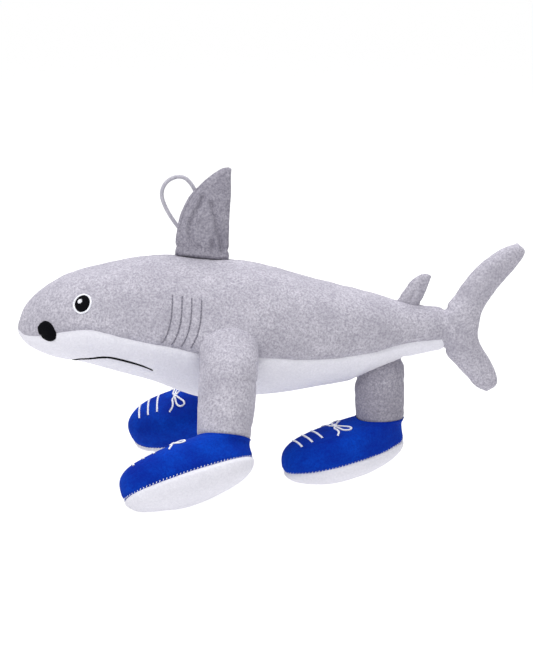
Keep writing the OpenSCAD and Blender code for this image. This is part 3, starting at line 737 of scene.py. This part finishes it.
body.stuff(size=30, height=0.55, seed=11)
body.sew(side_seams, depth=1.0, width=1.5, gather=0.3, pitch=5.5, reach=3.2, seed=21)
body.sew([body_point(t_line, 0)], depth=0.6, width=1.3, gather=0.18, pitch=6.5, reach=3.5, seed=23)
body.sew([tail_end], depth=1.3, width=2.0, gather=0.35, pitch=4.0, reach=2.6, seed=25)
body.crease(gills, depth=0.35, width=1.3)
body.crease([mouth_line], depth=0.5, width=1.6)

# Where each leg is sewn on
plain_tree = BVHTree.FromPolygons(body.points.tolist(), body.faces)
for foot in FEET:
    height = np.zeros(len(body.points)) if foot.name == "rear" else body.points[:, 2]
    body.lift(sewn_on(leg_distance(foot, body.points), height))
body.update()

CLOTH, BODY_FILL = 1.1, 0.85
# Each panel's columns, finish and CAD nodes
BELLY_END = BACK_COLS + BELLY_COLS
for name, first, end, finish, nodes in (
    ("back_left_panel", 0, BACK_COLS, GREY_PLUSH, ["back_left", "body_stuffing"]),
    ("belly_panel", BACK_COLS, BELLY_END, WHITE_PLUSH, ["belly"]),
    ("back_right_panel", BELLY_END, BELLY_END + BACK_COLS, GREY_PLUSH, ["back_right"]),
):
    mask = (body.col >= first) & (body.col < end) & (body.row < BODY_ROWS + len(TURNED_IN))
    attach(body.panel(name, mask, CLOTH, finish, BODY_FILL, nodes), "body")

body_tree = BVHTree.FromPolygons(body.points.tolist(), body.faces)


def on_skin(points):
    """Points brought to the body's finished skin, with its normals there."""
    return nearest(body_tree, points)


# ---- Fins on the back ----

# Height fraction, then leading and trailing edges as shares of the seam's length
DORSAL_SHAPE = [
    (0.00, -0.470, 0.520), (0.20, -0.472, 0.512), (0.42, -0.415, 0.502), (0.61, -0.289, 0.490),
    (0.76, -0.121, 0.478), (0.87, 0.039, 0.467), (0.955, 0.197, 0.455), (0.99, 0.300, 0.437),
    (1.00, 0.385, 0.385),
]
REAR_DORSAL_SHAPE = [
    (0.00, -0.37, 0.66), (0.15, -0.29, 0.71), (0.38, -0.17, 0.775), (0.62, -0.03, 0.815),
    (0.86, 0.25, 0.845), (0.96, 0.43, 0.830), (1.00, 0.66, 0.66),
]
# Folds in the dorsal fin's left side: shares of the seam's length from its middle, and of the height
DORSAL_FOLDS = [
    [(-0.04, 0.62), (-0.106, 0.49), (-0.225, 0.32), (-0.235, 0.20), (-0.16, 0.07), (-0.05, 0.0)],
    [(0.14, 0.56), (0.222, 0.40), (0.297, 0.235), (0.372, 0.10), (0.41, 0.0)],
    [(0.20, 0.10), (0.235, 0.05), (0.25, 0.0)],
]
DORSAL_FOLDS_RIGHT = [
    [(-0.30, 0.42), (-0.22, 0.25), (-0.25, 0.10), (-0.20, 0.0)],
    [(0.05, 0.50), (0.12, 0.30), (0.10, 0.12), (0.16, 0.0)],
    [(0.36, 0.24), (0.33, 0.10), (0.36, 0.0)],
]
REAR_FOLDS = [[(0.30, 0.34), (0.20, 0.16), (0.19, 0.0)]]
REAR_FOLDS_RIGHT = [[(-0.05, 0.30), (0.02, 0.12), (-0.02, 0.0)]]


class FinFrame:
    """A fin's seam in the frame: its middle, its line along the back, and its size in the CAD."""

    def __init__(self, moving, shape):
        self.place, axis = joint_place(f"{moving}_flop")
        self.ahead = unit(axis)
        self.up = np.cross(self.ahead, [0, 1, 0])
        local = node_points(f"{moving}_left", f"{moving}_right") - self.place
        along, high = local @ self.ahead, local @ self.up
        widest = np.linspace(0, 1, 301)
        share = curve(shape, 2, widest).max() - curve(shape, 1, widest).min()
        self.shape = shape
        self.chord = (along.max() - along.min()) / share
        self.height = high.max()
        self.radius = np.abs(local[:, 1]).max()

    def world(self, x, y, z):
        return (
            self.place + x[..., None] * self.ahead + z[..., None] * self.up
            + y[..., None] * np.array([0.0, 1.0, 0.0])
        )

    def edge(self, col, step):
        """How far along the seam an edge is. Below the seam it runs straight on into the body."""
        (low, *first), (high, *second) = self.shape[:2]
        slope = (second[col - 1] - first[col - 1]) / (high - low)
        return (curve(self.shape, col, step) + slope * np.minimum(step, 0)) * self.chord

    def point(self, step, turn):
        """A point of the cloth. turn runs from the leading edge round the left side, in degrees."""
        step, turn = np.broadcast_arrays(np.asarray(step, float), np.radians(turn))
        lead, trail = self.edge(1, step), self.edge(2, step)
        middle = (lead + trail) / 2
        half = np.maximum((trail - lead) / 2, 0.15)
        thick = self.radius * (1 - 0.25 * step) * np.sqrt(np.maximum(1 - np.maximum(step, 0) ** 5, 0))
        # Below its seam the fin tucks into the body
        tuck = 1 - 0.9 * np.clip(-step, 0, 1) ** 1.2
        return self.world(
            middle - half * np.cos(turn), -thick * np.sin(turn) * tuck, step * self.height
        )

    def on_side(self, places, side):
        """Places given as shares of the seam and of the height, on one side of the fin."""
        places = smooth_path(places, 8)
        step = np.clip(places[:, 1], 0, 1)
        lead = curve(self.shape, 1, step)
        trail = curve(self.shape, 2, step)
        across = np.clip(1 - 2 * (places[:, 0] - lead) / (trail - lead), -1, 1)
        turn = np.degrees(np.arccos(across))
        return self.point(step, turn if side == LEFT else 360 - turn)


def two_sides(form, mask, half, word, moving, thickness, finish, fill):
    """A fin's left and right sides of cloth."""
    for side, sided in (("left", form.col < half), ("right", form.col >= half)):
        nodes = [f"{moving}_left", f"{moving}_stuffing"] if side == "left" else [f"{moving}_right"]
        made = form.panel(f"{word}_{side}_panel", sided & mask, thickness, finish, fill, nodes)
        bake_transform(made)


# A fin's seams, in degrees from the middle of its leading edge
LEAD_TURN, TRAIL_TURN = 26.0, 180.0
# Depths in millimetres of the rings under a fin's seam, inside the body
FIN_ROOT = np.array([1.4, 3.2, 5.2])


def make_fin(fin, word, moving, finish, folds, fold_depth, fold_width, lumps, rows, half_cols, seed):
    """A fin's two sides of cloth, sewn together round their edges and bent where they join the back."""
    root = -FIN_ROOT / fin.height
    steps = np.concatenate([[0.9992, 0.996], 1 - np.linspace(0.03, 1, rows) ** 1.3, root])
    shares = np.arange(half_cols) / half_cols
    turns = np.concatenate([
        LEAD_TURN + (TRAIL_TURN - LEAD_TURN) * shares,
        TRAIL_TURN + (TRAIL_TURN + LEAD_TURN) * shares,
    ])
    foot_pole = fin.point(root[-1] * 1.25, 90.0) * [1, 0, 1]
    form = Form(fin.point(steps[:, None], turns), fin.point(1.0, 0.0), foot_pole)
    plain = form.points
    size, height = lumps
    form.stuff(size, height, seed - 2)
    line = np.linspace(0.0, 0.995, 120)
    edges = [fin.point(line, LEAD_TURN), fin.point(line, TRAIL_TURN)]
    form.sew(edges, depth=0.35 * fold_depth, width=0.9, gather=0.14, pitch=3.6, reach=2.0, seed=seed)
    for side, paths in zip((LEFT, RIGHT), folds):
        form.crease([fin.on_side(p, side) for p in paths], fold_depth, fold_width, 0.3 * fold_depth)
    form.sew(
        [fin.point(0, np.linspace(0, 360, 120))], depth=min(0.7, 0.5 * fold_depth), width=1.6,
        gather=min(0.3, 0.3 * fold_depth), pitch=3.2, reach=2.2, seed=seed + 2,
    )
    # Towards the tip the cloth lies smooth and thin
    near_tip = np.repeat(np.clip((1 - steps) / 0.09, 0, 1), len(turns))
    nearness = np.concatenate([near_tip, [0, 1]])[:, None]
    form.points = plain + (form.points - plain) * nearness
    form.update()
    two_sides(
        form, form.row < len(steps), half_cols, word, moving, 0.12 + 0.68 * nearness, finish, 0.7,
    )


# The dorsal fin wears the darker copy of the grey plush: painted shade
make_fin(
    FinFrame("dorsal_fin", DORSAL_SHAPE), "dorsal", "dorsal_fin", GREY_PLUSH_PAINTED_SHADE,
    (DORSAL_FOLDS, DORSAL_FOLDS_RIGHT), fold_depth=1.5, fold_width=1.3, lumps=(13, 0.35),
    rows=84, half_cols=52, seed=33,
)
make_fin(
    FinFrame("rear_dorsal", REAR_DORSAL_SHAPE), "rear_dorsal", "rear_dorsal", GREY_PLUSH,
    (REAR_FOLDS, REAR_FOLDS_RIGHT), fold_depth=0.45, fold_width=0.9, lumps=(7, 0.15),
    rows=40, half_cols=32, seed=39,
)


# ---- Tail fin ----

# Height fraction from the lower tip, and an edge as a share of the tail's length
TAIL_LEAD = [
    (0.00, 0.54), (0.03, 0.41), (0.11, 0.265), (0.19, 0.135), (0.27, 0.02),
    (0.55, 0.02), (0.67, 0.14), (0.81, 0.33), (0.90, 0.52), (0.96, 0.70), (1.00, 0.90),
]
TAIL_TRAIL = [
    (0.00, 0.54), (0.03, 0.64), (0.07, 0.685), (0.15, 0.645), (0.23, 0.56), (0.32, 0.455),
    (0.39, 0.415), (0.46, 0.43), (0.55, 0.47), (0.69, 0.635), (0.85, 0.895),
    (0.92, 0.985), (0.96, 0.99), (1.00, 0.90),
]
tail_low, tail_high = mm_box("tail_fin_left", "tail_fin_right")
tail_height = tail_high[2] - tail_low[2]
tail_length = (tail_high[0] - tail_hinge[0]) / curve(TAIL_TRAIL, 1, np.linspace(0, 1, 401)).max()
root_radius = tail_high[1]
lobe_radius = 0.78 * root_radius
# Height fractions where the root begins and ends, how soon it is full, and how far it goes into the body
ROOT_LOW, ROOT_HIGH, ROOT_RISE, ROOT_REACH = 0.20, 0.66, 0.14, 0.02
TAIL_ROWS, TAIL_COLS = 130, 40
# How much thicker the root is than in the CAD, the share of the chord where the tail is thickest, how
# much of its thickness the body's end may fill, and how far in millimetres its cloth goes on inside
ROOT_SWELL, THICKEST, MOST_FILLED, ROOT_TUCK = 1.06, 0.42, 0.985, 4
end_top = tail_end[:, 2].max() - axis_height
end_under = axis_height - tail_end[:, 2].min()
end_half = tail_end[:, 1].max()


def end_width(z):
    """Half the width of the body's end at a height."""
    away = np.where(z > axis_height, (z - axis_height) / end_top, (axis_height - z) / end_under)
    return end_half * np.sqrt(np.maximum(1 - away**2, 0))


def tail_ring(step, share):
    """Points round the tail at a height fraction: share runs 0 to 1 to the trailing edge, then 2."""
    z = tail_low[2] + tail_height * step
    rise, fall = (step - ROOT_LOW) / ROOT_RISE, (ROOT_HIGH - step) / ROOT_RISE
    root = smooth(np.clip(rise, 0, 1) * np.clip(fall, 0, 1))
    lead = tail_hinge[0] + tail_length * (curve(TAIL_LEAD, 1, step) - ROOT_REACH * root)
    trail = tail_hinge[0] + tail_length * curve(TAIL_TRAIL, 1, step)
    lobe = lobe_radius * np.sqrt(np.maximum(1 - (2 * step - 1) ** 6, 0))
    thick = lobe + (root_radius * ROOT_SWELL - lobe) * root
    middle = lead + THICKEST * (trail - lead)
    sunk = np.clip(end_width(z) / thick, 0, MOST_FILLED)
    reach = (middle - lead) / np.sqrt(1 - sunk**2)
    first = np.degrees(np.arccos(np.clip((middle - lead + ROOT_TUCK) / reach, 0, 1)))
    side = np.where(share <= 1, -1.0, 1.0)
    turn = np.radians(first + (180 - first) * np.where(share <= 1, share, 2 - share))
    x = middle - np.where(np.cos(turn) > 0, reach, trail - middle) * np.cos(turn)
    return np.stack(np.broadcast_arrays(x, side * thick * np.sin(turn), z), axis=-1)


tail_u = (np.arange(TAIL_ROWS) + 0.5) / TAIL_ROWS
tail_steps = 1 - (0.6 * tail_u + 0.4 * (1 - np.cos(np.pi * tail_u)) / 2)
tail_shares = np.arange(2 * TAIL_COLS) / TAIL_COLS
tail_rings = tail_ring(tail_steps[:, None], tail_shares[None, :])
top_tip = [tail_hinge[0] + tail_length * TAIL_LEAD[-1][1], 0, tail_high[2]]
low_tip = [tail_hinge[0] + tail_length * TAIL_LEAD[0][1], 0, tail_low[2]]
tail = Form(tail_rings, top_tip, low_tip)
tail.stuff(size=15, height=0.4, seed=41)
edge_steps = np.linspace(0.01, 0.99, 300)
trailing = tail_ring(edge_steps, 1.0)
leading = tail_ring(edge_steps, 0.0)
edges = [trailing, leading[edge_steps < 0.27], leading[edge_steps > 0.57]]
tail.sew(edges, depth=0.3, width=0.8, gather=0.15, pitch=4.2, reach=2.4, seed=43)
tail.sew([tail_end + [0.3, 0, 0]], depth=0.9, width=1.8, gather=0.35, pitch=3.6, reach=3.0, seed=45)
tail.update()
two_sides(
    tail, True, TAIL_COLS, "tail", "tail_fin", 0.9, GREY_PLUSH, 0.8,
)


# ---- Legs ----

LEG_COLS = 90
# Soft creases across each leg: height over the ankle, the way they face, depth and width
FRONT_CREASES = ((7, 0.4, 0.4, 1.6), (21, 2.2, 0.35, 1.6), (33, 0.0, 0.8, 1.2), (39, -2.6, 0.4, 2.0))
REAR_CREASES = ((5, -1.2, 0.35, 1.4), (14, 2.4, 0.4, 1.6), (22, -0.6, 0.5, 1.8))
# How far the sleeve goes down into the shoe, and how much narrower it ends there
IN_SHOE, IN_SHOE_NARROWING = 2.6, 3.2
# How much a leg swells halfway up
LEG_SWELL = 0.4
# Heights of a leg's round top as shares of its radius: the rear one is nearly flat
REAR_DOME, FRONT_DOME = 0.3, 1.0


def from_body(points):
    """How far points are outside the body's plain skin, and the skin's normals beside them."""
    places, ups = nearest(plain_tree, points)
    return np.sum((points - places) * ups, axis=1), ups


def make_leg(foot):
    """A stuffed tube that is sewn to the body at its top and goes into the shoe."""
    rear = foot.name == "rear"
    low, top = foot.radii
    rise = REAR_LEG_RISE if rear else foot.length
    heights = np.concatenate([[-IN_SHOE, -1.9, -1.2], np.linspace(-0.4, rise, 50)])
    share = np.clip(heights / rise, 0, 1)
    narrowing = IN_SHOE_NARROWING * np.clip(-heights / IN_SHOE, 0, 1)
    radii = low + (top - low) * share + LEG_SWELL * np.sin(np.pi * share) - narrowing
    dome = np.radians(np.linspace(5, 86, 20))
    heights = np.concatenate([heights, rise + top * (REAR_DOME if rear else FRONT_DOME) * np.sin(dome)])
    radii = np.concatenate([radii, top * np.cos(dome)])
    turns = np.arange(LEG_COLS) * 360 / LEG_COLS
    rings = foot.leg_point(heights[:, None], turns, radii[:, None])
    form = Form(rings, foot.ankle - foot.up * 3, foot.ankle + foot.up * (heights[-1] + 0.1))
    away, ups = from_body(form.points)
    if rear:
        # The tube goes in under the belly along a sloping seam
        seam_height = REAR_SEAM_HEIGHT + REAR_SEAM_SLOPE * (form.points[:, 0] - foot.ankle[0])
        drawn = smooth((form.points[:, 2] - seam_height + 2) / 5) * np.maximum(away + 1.5, 0)
    else:
        # The round top is drawn in to the side of the body
        over = (form.points - foot.ankle) @ foot.up
        drawn = 0.6 * smooth((over - foot.length + 8) / (top + 8)) * np.maximum(away, 0)
    form.points = form.points - ups * drawn[:, None]
    form.update()
    form.stuff(size=17, height=0.45, seed=foot.seed)
    inner = 90.0 if foot.side == LEFT else 270.0
    seam_line = foot.leg_point(np.linspace(-1, rise, 80), inner, low + 0.4)
    form.sew([seam_line], depth=0.6, width=1.2, gather=0.2, pitch=4.5, reach=2.6, seed=foot.seed + 1)
    out = form.points - foot.ankle
    over, turn = out @ foot.up, np.arctan2(out @ foot.across, out @ foot.ahead)
    for at, facing, deep, width in REAR_CREASES if rear else FRONT_CREASES:
        bend = over - at - 1.4 * np.sin(turn * 1.5 + foot.seed)
        faced = (0.5 + 0.5 * np.cos(turn - facing)) ** 1.5
        form.lift(-deep * np.exp(-((bend / width) ** 2)) * faced)
    away, _ = from_body(form.points)
    height = np.zeros(len(away)) if rear else form.points[:, 2]
    form.lift(sewn_on(away, height) * (over > 0))
    collar_ring = foot.leg_point(0, np.linspace(0, 360, 120), low)
    form.sew([collar_ring], depth=0.5, width=1.5, gather=0.25, pitch=3.6, reach=2.4, seed=foot.seed + 2)
    form.update()
    nodes = [f"{foot.name}_leg", f"{foot.name}_leg_stuffing"]
    # The rear leg wears the darker copy of the grey plush: painted shade under the body
    finish = GREY_PLUSH_PAINTED_SHADE if rear else GREY_PLUSH
    made = form.panel(f"{foot.name}_leg_sleeve", form.row >= 0, 0.9, finish, 0.8, nodes)
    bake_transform(made)


# ---- Shoes ----

SHOE_LENGTH, SHOE_WIDTH, SOLE_DEPTH = 78.0, 41.0, 13.5
SEAM_DROP, SHOE_MIDDLE, TOE_LIFT, DOME_POWER = 16.4, -26.8, 1.0, 4.0
UPPER_ROWS, SOLE_ROWS, SHOE_COLS = 44, 34, 132
# The collar's cloth turned in: shares of the collar's size, and how far down each ring is
COLLAR_FOLD = ((0.86, 2.2), (0.90, 1.2), (0.955, 0.1), (1.0, -0.45), (1.03, -0.35))


def outline(turn):
    """The seam between upper and sole, at an angle from the heel."""
    toe = (1 - np.cos(turn)) / 2
    return np.stack([
        SHOE_MIDDLE + SHOE_LENGTH / 2 * np.cos(turn),
        SHOE_WIDTH / 2 * (1 - 0.09 * np.cos(turn)) * np.sin(turn),
        -SEAM_DROP + TOE_LIFT * toe**3,
    ], axis=-1)


def upper_point(foot, turn, step):
    """A point of the upper: step 0 is the collar and step 1 is the sole's seam."""
    turn, step = np.broadcast_arrays(np.radians(turn), np.asarray(step, float))
    edge = outline(turn)
    side = foot.radii[0]
    rim = foot.collar(turn)
    span = np.linalg.norm(edge[..., :2] - rim[..., :2], axis=-1)
    start = np.arcsin(np.minimum(0.97, 1.02 * side / (side + span)))
    now = start + (np.pi / 2 - start) * step
    out = (np.sin(now) - np.sin(start)) / (1 - np.sin(start))

    def dome(s):
        return (1 - np.minimum(s, 0.9999) ** DOME_POWER) ** (1 / DOME_POWER)

    up = np.where(step >= 1, 0, dome(np.sin(now)) / dome(np.sin(start)))
    flat = rim[..., :2] + (edge[..., :2] - rim[..., :2]) * out[..., None]
    high = edge[..., 2] + (rim[..., 2] - edge[..., 2]) * up
    return np.concatenate([flat, high[..., None]], axis=-1)


def sole_point(turn, angle):
    """A point of the bulging sole: angle 0 is its seam and 90 the middle of its underside."""
    turn, angle = np.broadcast_arrays(np.radians(turn), np.radians(angle))
    edge = outline(turn)
    shrink = np.maximum(np.cos(angle), 0) ** 0.8
    return np.stack([
        SHOE_MIDDLE + (edge[..., 0] - SHOE_MIDDLE) * shrink,
        edge[..., 1] * shrink,
        edge[..., 2] - SOLE_DEPTH * np.sin(angle),
    ], axis=-1)


# Laces in millimetres across the shoe and ahead of the ankle. Each bar is how far ahead it is, and half
# its width
LACE_BARS = [(54.0, 8.0), (47.5, 9.2), (41.0, 9.8)]
BOW = [(0.5, 28), (4, 25.8), (8.5, 22.6), (11.3, 22.6), (11.8, 25), (9.5, 27.2), (5, 28.2), (0.5, 28.8)]
LACE_TAIL = [(0.5, 29), (3.5, 30.3), (7, 30), (10.5, 30.4), (13.5, 32.5)]
KNOT = [(-1.8, 28.2), (0.2, 28.8), (1.8, 28.2)]
STITCH_PITCH = 2.1


def seam_stitches(foot, edge, shoe_up):
    """Small overcast stitches that close the seam between the upper and the sole."""
    line = resampled(edge, STITCH_PITCH)[:-1]
    along = unit(np.roll(line, -1, axis=0) - np.roll(line, 1, axis=0))
    outward = unit(line - foot.shoe_world(np.array([SHOE_MIDDLE, 0.0, -SEAM_DROP])))
    share = np.linspace(-1, 1, 6)
    lines = (
        line[:, None, :] + outward[:, None, :] * (0.45 * (1 - share**2) - 0.75)[None, :, None]
        + shoe_up * (0.5 + 0.5 * share)[None, :, None]
        + along[:, None, :] * (0.35 * share)[None, :, None]
    )
    part = threads(lines, outward, 0.19)
    embroidery(f"{foot.name}_shoe_seam_stitches", [part], WHITE_THREAD, foot.body)


def make_shoe(foot):
    """A stuffed shoe: a blue upper, a bulging white sole, the seam's stitches and embroidered laces."""
    turns = np.arange(SHOE_COLS) * 360 / SHOE_COLS
    u = np.linspace(0, 1, UPPER_ROWS)
    steps = 0.5 * u + 0.5 * (1 - np.cos(np.pi * u)) / 2
    upper = upper_point(foot, turns, steps[:, None])
    inside = [upper[0] * share - [0, 0, drop] for share, drop in COLLAR_FOLD]
    under = np.linspace(0, 1, SOLE_ROWS + 1)[1:]
    sole = sole_point(turns, 86 * (0.75 * under + 0.25 * under**2)[:, None])
    rings = foot.shoe_world(np.concatenate([inside, upper[1:], sole]))
    start = foot.shoe_world(np.array([0.0, 0.0, -4.0]))
    end = foot.shoe_world(np.array([SHOE_MIDDLE, 0.0, -SEAM_DROP - SOLE_DEPTH]))
    form = Form(rings, start, end)
    form.stuff(size=16, height=0.4, seed=foot.seed + 3)
    edge = foot.shoe_world(outline(np.radians(np.linspace(0, 360, 400))))
    form.sew([edge], depth=0.9, width=1.15, gather=0.3, pitch=3.1, reach=2.0, seed=foot.seed + 4)
    form.points[:, 2] = np.maximum(form.points[:, 2], 0.0)
    form.update()
    seam_row = len(inside) + UPPER_ROWS - 2
    shoe = f"{foot.name}_shoe"
    for word, mask, finish, nodes in (
        ("upper", (form.row >= 0) & (form.row < seam_row), BLUE_PLUSH, [f"{shoe}_upper"]),
        ("sole", form.row >= seam_row, WHITE_PLUSH, [f"{shoe}_sole", f"{shoe}_stuffing"]),
    ):
        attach(form.panel(f"{shoe}_{word}_panel", mask, 0.9, finish, 0.9, nodes), foot.body)

    tree = BVHTree.FromPolygons(form.points.tolist(), form.faces)
    shoe_up = unit(foot.shoe_world(np.array([0.0, 0.0, 1.0])) - foot.ankle)

    def on_shoe(places, side=1):
        """A line straight over the finished upper, with the normals there."""
        hits = []
        for across, ahead in smooth_path(places, 8):
            over = foot.shoe_world(np.array([-ahead, side * across + foot.lace_shift, 30.0]))
            hits.append(tree.ray_cast(Vector(over), Vector(-shoe_up))[:2])
        return np.array([h[0] for h in hits]), unit(np.array([h[1] for h in hits]))

    parts = []
    for ahead, half in LACE_BARS:
        bar = [(half * share, ahead) for share in np.linspace(-1, 1, 9)]
        parts.append(satin(*on_shoe(bar), width=1.25, height=0.5))
    for side in (-1, 1):
        parts.append(satin(*on_shoe(BOW, side), width=1.2, height=0.6))
        parts.append(satin(*on_shoe(LACE_TAIL, side), width=1.2, height=0.5))
    parts.append(satin(*on_shoe(KNOT), width=2.4, height=0.9, pitch=0.45, radius=0.32))
    embroidery(f"{foot.name}_lace_embroidery", parts, WHITE_THREAD, foot.body, f"{foot.name}_laces")
    seam_stitches(foot, edge, shoe_up)


for foot in FEET:
    make_leg(foot)
    make_shoe(foot)


# ---- Face, embroidered on the head ----

# Each place is a fraction of the body's length and an angle from the back
EYE_PLACE, EYE_HEIGHT, EYE_TILT = (0.156, 58.2), 12.0, 15.0
GLINT_PLACE = (EYE_PLACE[0] - 0.0045, EYE_PLACE[1] - 2.0)
NOSTRIL_PLACE, NOSTRIL_LENGTH, NOSTRIL_TILT = (0.072, 88.0), 13.4, 42.0
# How far a filled shape's pad lies under its stitches, and how far it goes into the cloth
PAD_DROP, PAD_ROOT = 0.12, 0.6


def near(place, u, v, tilt=0.0):
    """Points a small way from a place, along the axes of an oval that is tilted there."""
    t, angle = place
    a = math.radians(tilt)
    here = body_point(t, angle)
    length_step = np.linalg.norm(body_point(t + 0.01, angle) - here) / 0.01
    round_step = np.linalg.norm(body_point(t, angle + 4) - here) / 4
    along = u * math.cos(a) - v * math.sin(a)
    round_it = u * math.sin(a) + v * math.cos(a)
    return body_point(t + along / length_step, angle + round_it / round_step)


def oval(place, length, height, tilt, share=1.0, count=72):
    """A closed line round an oval on the left side of the head."""
    turn = np.linspace(0, 2 * np.pi, count)
    return near(place, share * length / 2 * np.cos(turn), share * height / 2 * np.sin(turn), tilt)


def filled(place, length, height, tilt, lift, dome, pitch=0.42, thick=0.3, stitch_turn=90.0):
    """An oval filled with long satin stitches laid side by side over a low dome."""
    b = math.radians(stitch_turn)
    offsets = np.linspace(-0.985, 0.985, int(max(length, height) / pitch))[:, None]
    share = np.linspace(-1, 1, 11)
    run = np.sqrt(1 - offsets**2) * share
    x = run * math.sin(b) - offsets * math.cos(b)
    y = offsets * math.sin(b) + run * math.cos(b)
    placed, ups = on_skin(near(place, x * length / 2, y * height / 2, tilt).reshape(-1, 3))
    rise = lift + dome * np.sqrt(np.maximum(1 - 0.96 * (x**2 + y**2), 0)) - 0.5 * share**8
    shape = (*run.shape, 3)
    stitches = threads((placed + ups * rise.reshape(-1, 1)).reshape(shape), ups.reshape(shape), thick)
    shares = (0.97, 0.8, 0.55, 0.25)
    rings = [on_skin(oval(place, length, height, tilt, s)[:-1]) for s in shares]
    heights = [lift + dome * math.sqrt(1 - 0.96 * s * s) - PAD_DROP for s in shares]
    pad = [rings[0][0] - rings[0][1] * PAD_ROOT] + [on + up * h for (on, up), h in zip(rings, heights)]
    top, up = (found[0] for found in on_skin([near(place, 0.0, 0.0)]))
    form = Form(np.array(pad), top - up * PAD_ROOT, top + up * (lift + dome - PAD_DROP))
    return joined([stitches, (form.points, form.faces)])


def both_sides(name, part, finish, node):
    """Embroidery on the left side of the head, and its mirror image on the right."""
    points, faces = part
    mirrored = points * [1, -1, 1], [tuple(reversed(f)) for f in faces]
    embroidery(name, [part, mirrored], finish, "body", node)


def back_stitches(path, ups, stitch, radius):
    """Back stitches in a line: each dives into the cloth where the next begins."""
    both = resampled(np.concatenate([path, ups], axis=1), stitch / 6)
    count = (len(both) - 1) // 6
    pick = both[np.arange(count)[:, None] * 6 + np.arange(7)]
    share = np.linspace(-1, 1, 7)
    arch = 0.42 * (1 - share**4) - 0.12
    ups = unit(pick[..., 3:])
    return threads(pick[..., :3] + ups * arch[None, :, None], ups, radius)


eye_ring = on_skin(oval(EYE_PLACE, EYE_HEIGHT * 0.85, EYE_HEIGHT * 0.92, EYE_TILT, count=120))
both_sides(
    "eye_ring_embroidery", satin(*eye_ring, width=1.3, height=0.55, pitch=0.42, slant=0.1, closed=True),
    WHITE_THREAD, "eye_rings",
)
pupil = filled(EYE_PLACE, EYE_HEIGHT * 0.78, EYE_HEIGHT * 0.85, EYE_TILT, lift=0.25, dome=0.75)
both_sides("pupil_embroidery", pupil, BLACK_THREAD, "pupils")
glint = filled(
    GLINT_PLACE, 2.9, 2.6, 0, lift=1.05, dome=0.4, pitch=0.4, thick=0.24, stitch_turn=60.0
)
both_sides("eye_glint_embroidery", glint, WHITE_THREAD, "eye_glints")
nostril = filled(
    NOSTRIL_PLACE, NOSTRIL_LENGTH, NOSTRIL_LENGTH * 0.82, NOSTRIL_TILT, lift=0.2, dome=0.8, stitch_turn=20.0
)
both_sides("nostril_embroidery", nostril, BLACK_THREAD, "nostrils")

# The mouth's line, which narrows at its two corners
mouth_share = np.linspace(0, 1, 60)
mouth_width = 1.8 * np.minimum(1, 0.3 + 6 * np.minimum(mouth_share, mouth_share[::-1]))
mouth = satin(*on_skin(mouth_line), mouth_width, height=0.35, pitch=0.45, slant=0.45)
embroidery("mouth_embroidery", [mouth], BLACK_THREAD, "body", "mouth_stitches")
gill_parts = [back_stitches(*on_skin(line), stitch=2.1, radius=0.42) for line in gills]
embroidery("gill_embroidery", gill_parts, GREY_THREAD, "body", "gill_stitches")


# ---- Floor and light ----

FLOOR_REACH, FLOOR_DROP = 60.0, 0.0002
floor_nodes = Nodes("pale_floor")
floor_grain = floor_nodes.ramp(floor_nodes.noise(scale=300), 0.3, 0.0)
floor_nodes.coloured((152, 152, 152), (146, 146, 146), floor_grain)
floor_nodes.finish(roughness=0.9, sheen=0.0, sheen_roughness=0.5, tint=(255, 255, 255), specular=0.1)
set_inputs(floor_nodes.shader, {"Emission Color": (1, 1, 1, 1), "Emission Strength": 0.86})
floor_mesh = bpy.data.meshes.new("floor")
corners = [(x * FLOOR_REACH, y * FLOOR_REACH, -FLOOR_DROP) for x, y in ((-1, -1), (1, -1), (1, 1), (-1, 1))]
floor_mesh.from_pydata(corners, [], [(0, 1, 2, 3)])
floor_mesh.materials.append(floor_nodes.material)
floor = bpy.data.objects.new("floor", floor_mesh)
scene.collection.objects.link(floor)

world = bpy.data.worlds.new("studio")
world.use_nodes = True
set_inputs(world.node_tree.nodes["Background"], {"Color": (1, 1, 1, 1), "Strength": 0.42})
scene.world = world


def lamp(name, place, power, size):
    """A large soft lamp that faces the toy."""
    data = bpy.data.lights.new(name, "AREA")
    data.energy, data.size = power, size
    made = bpy.data.objects.new(name, data)
    made.location = place
    made.rotation_euler = (aim - Vector(place)).to_track_quat("-Z", "Y").to_euler()
    scene.collection.objects.link(made)


lamp("key", (-0.7, -0.9, 1.6), power=22, size=1.2)
lamp("fill", (1.4, -1.2, 0.7), power=2, size=1.5)
lamp("top", (0.2, 0.5, 1.9), power=33, size=1.6)
scene.view_settings.view_transform = "Standard"
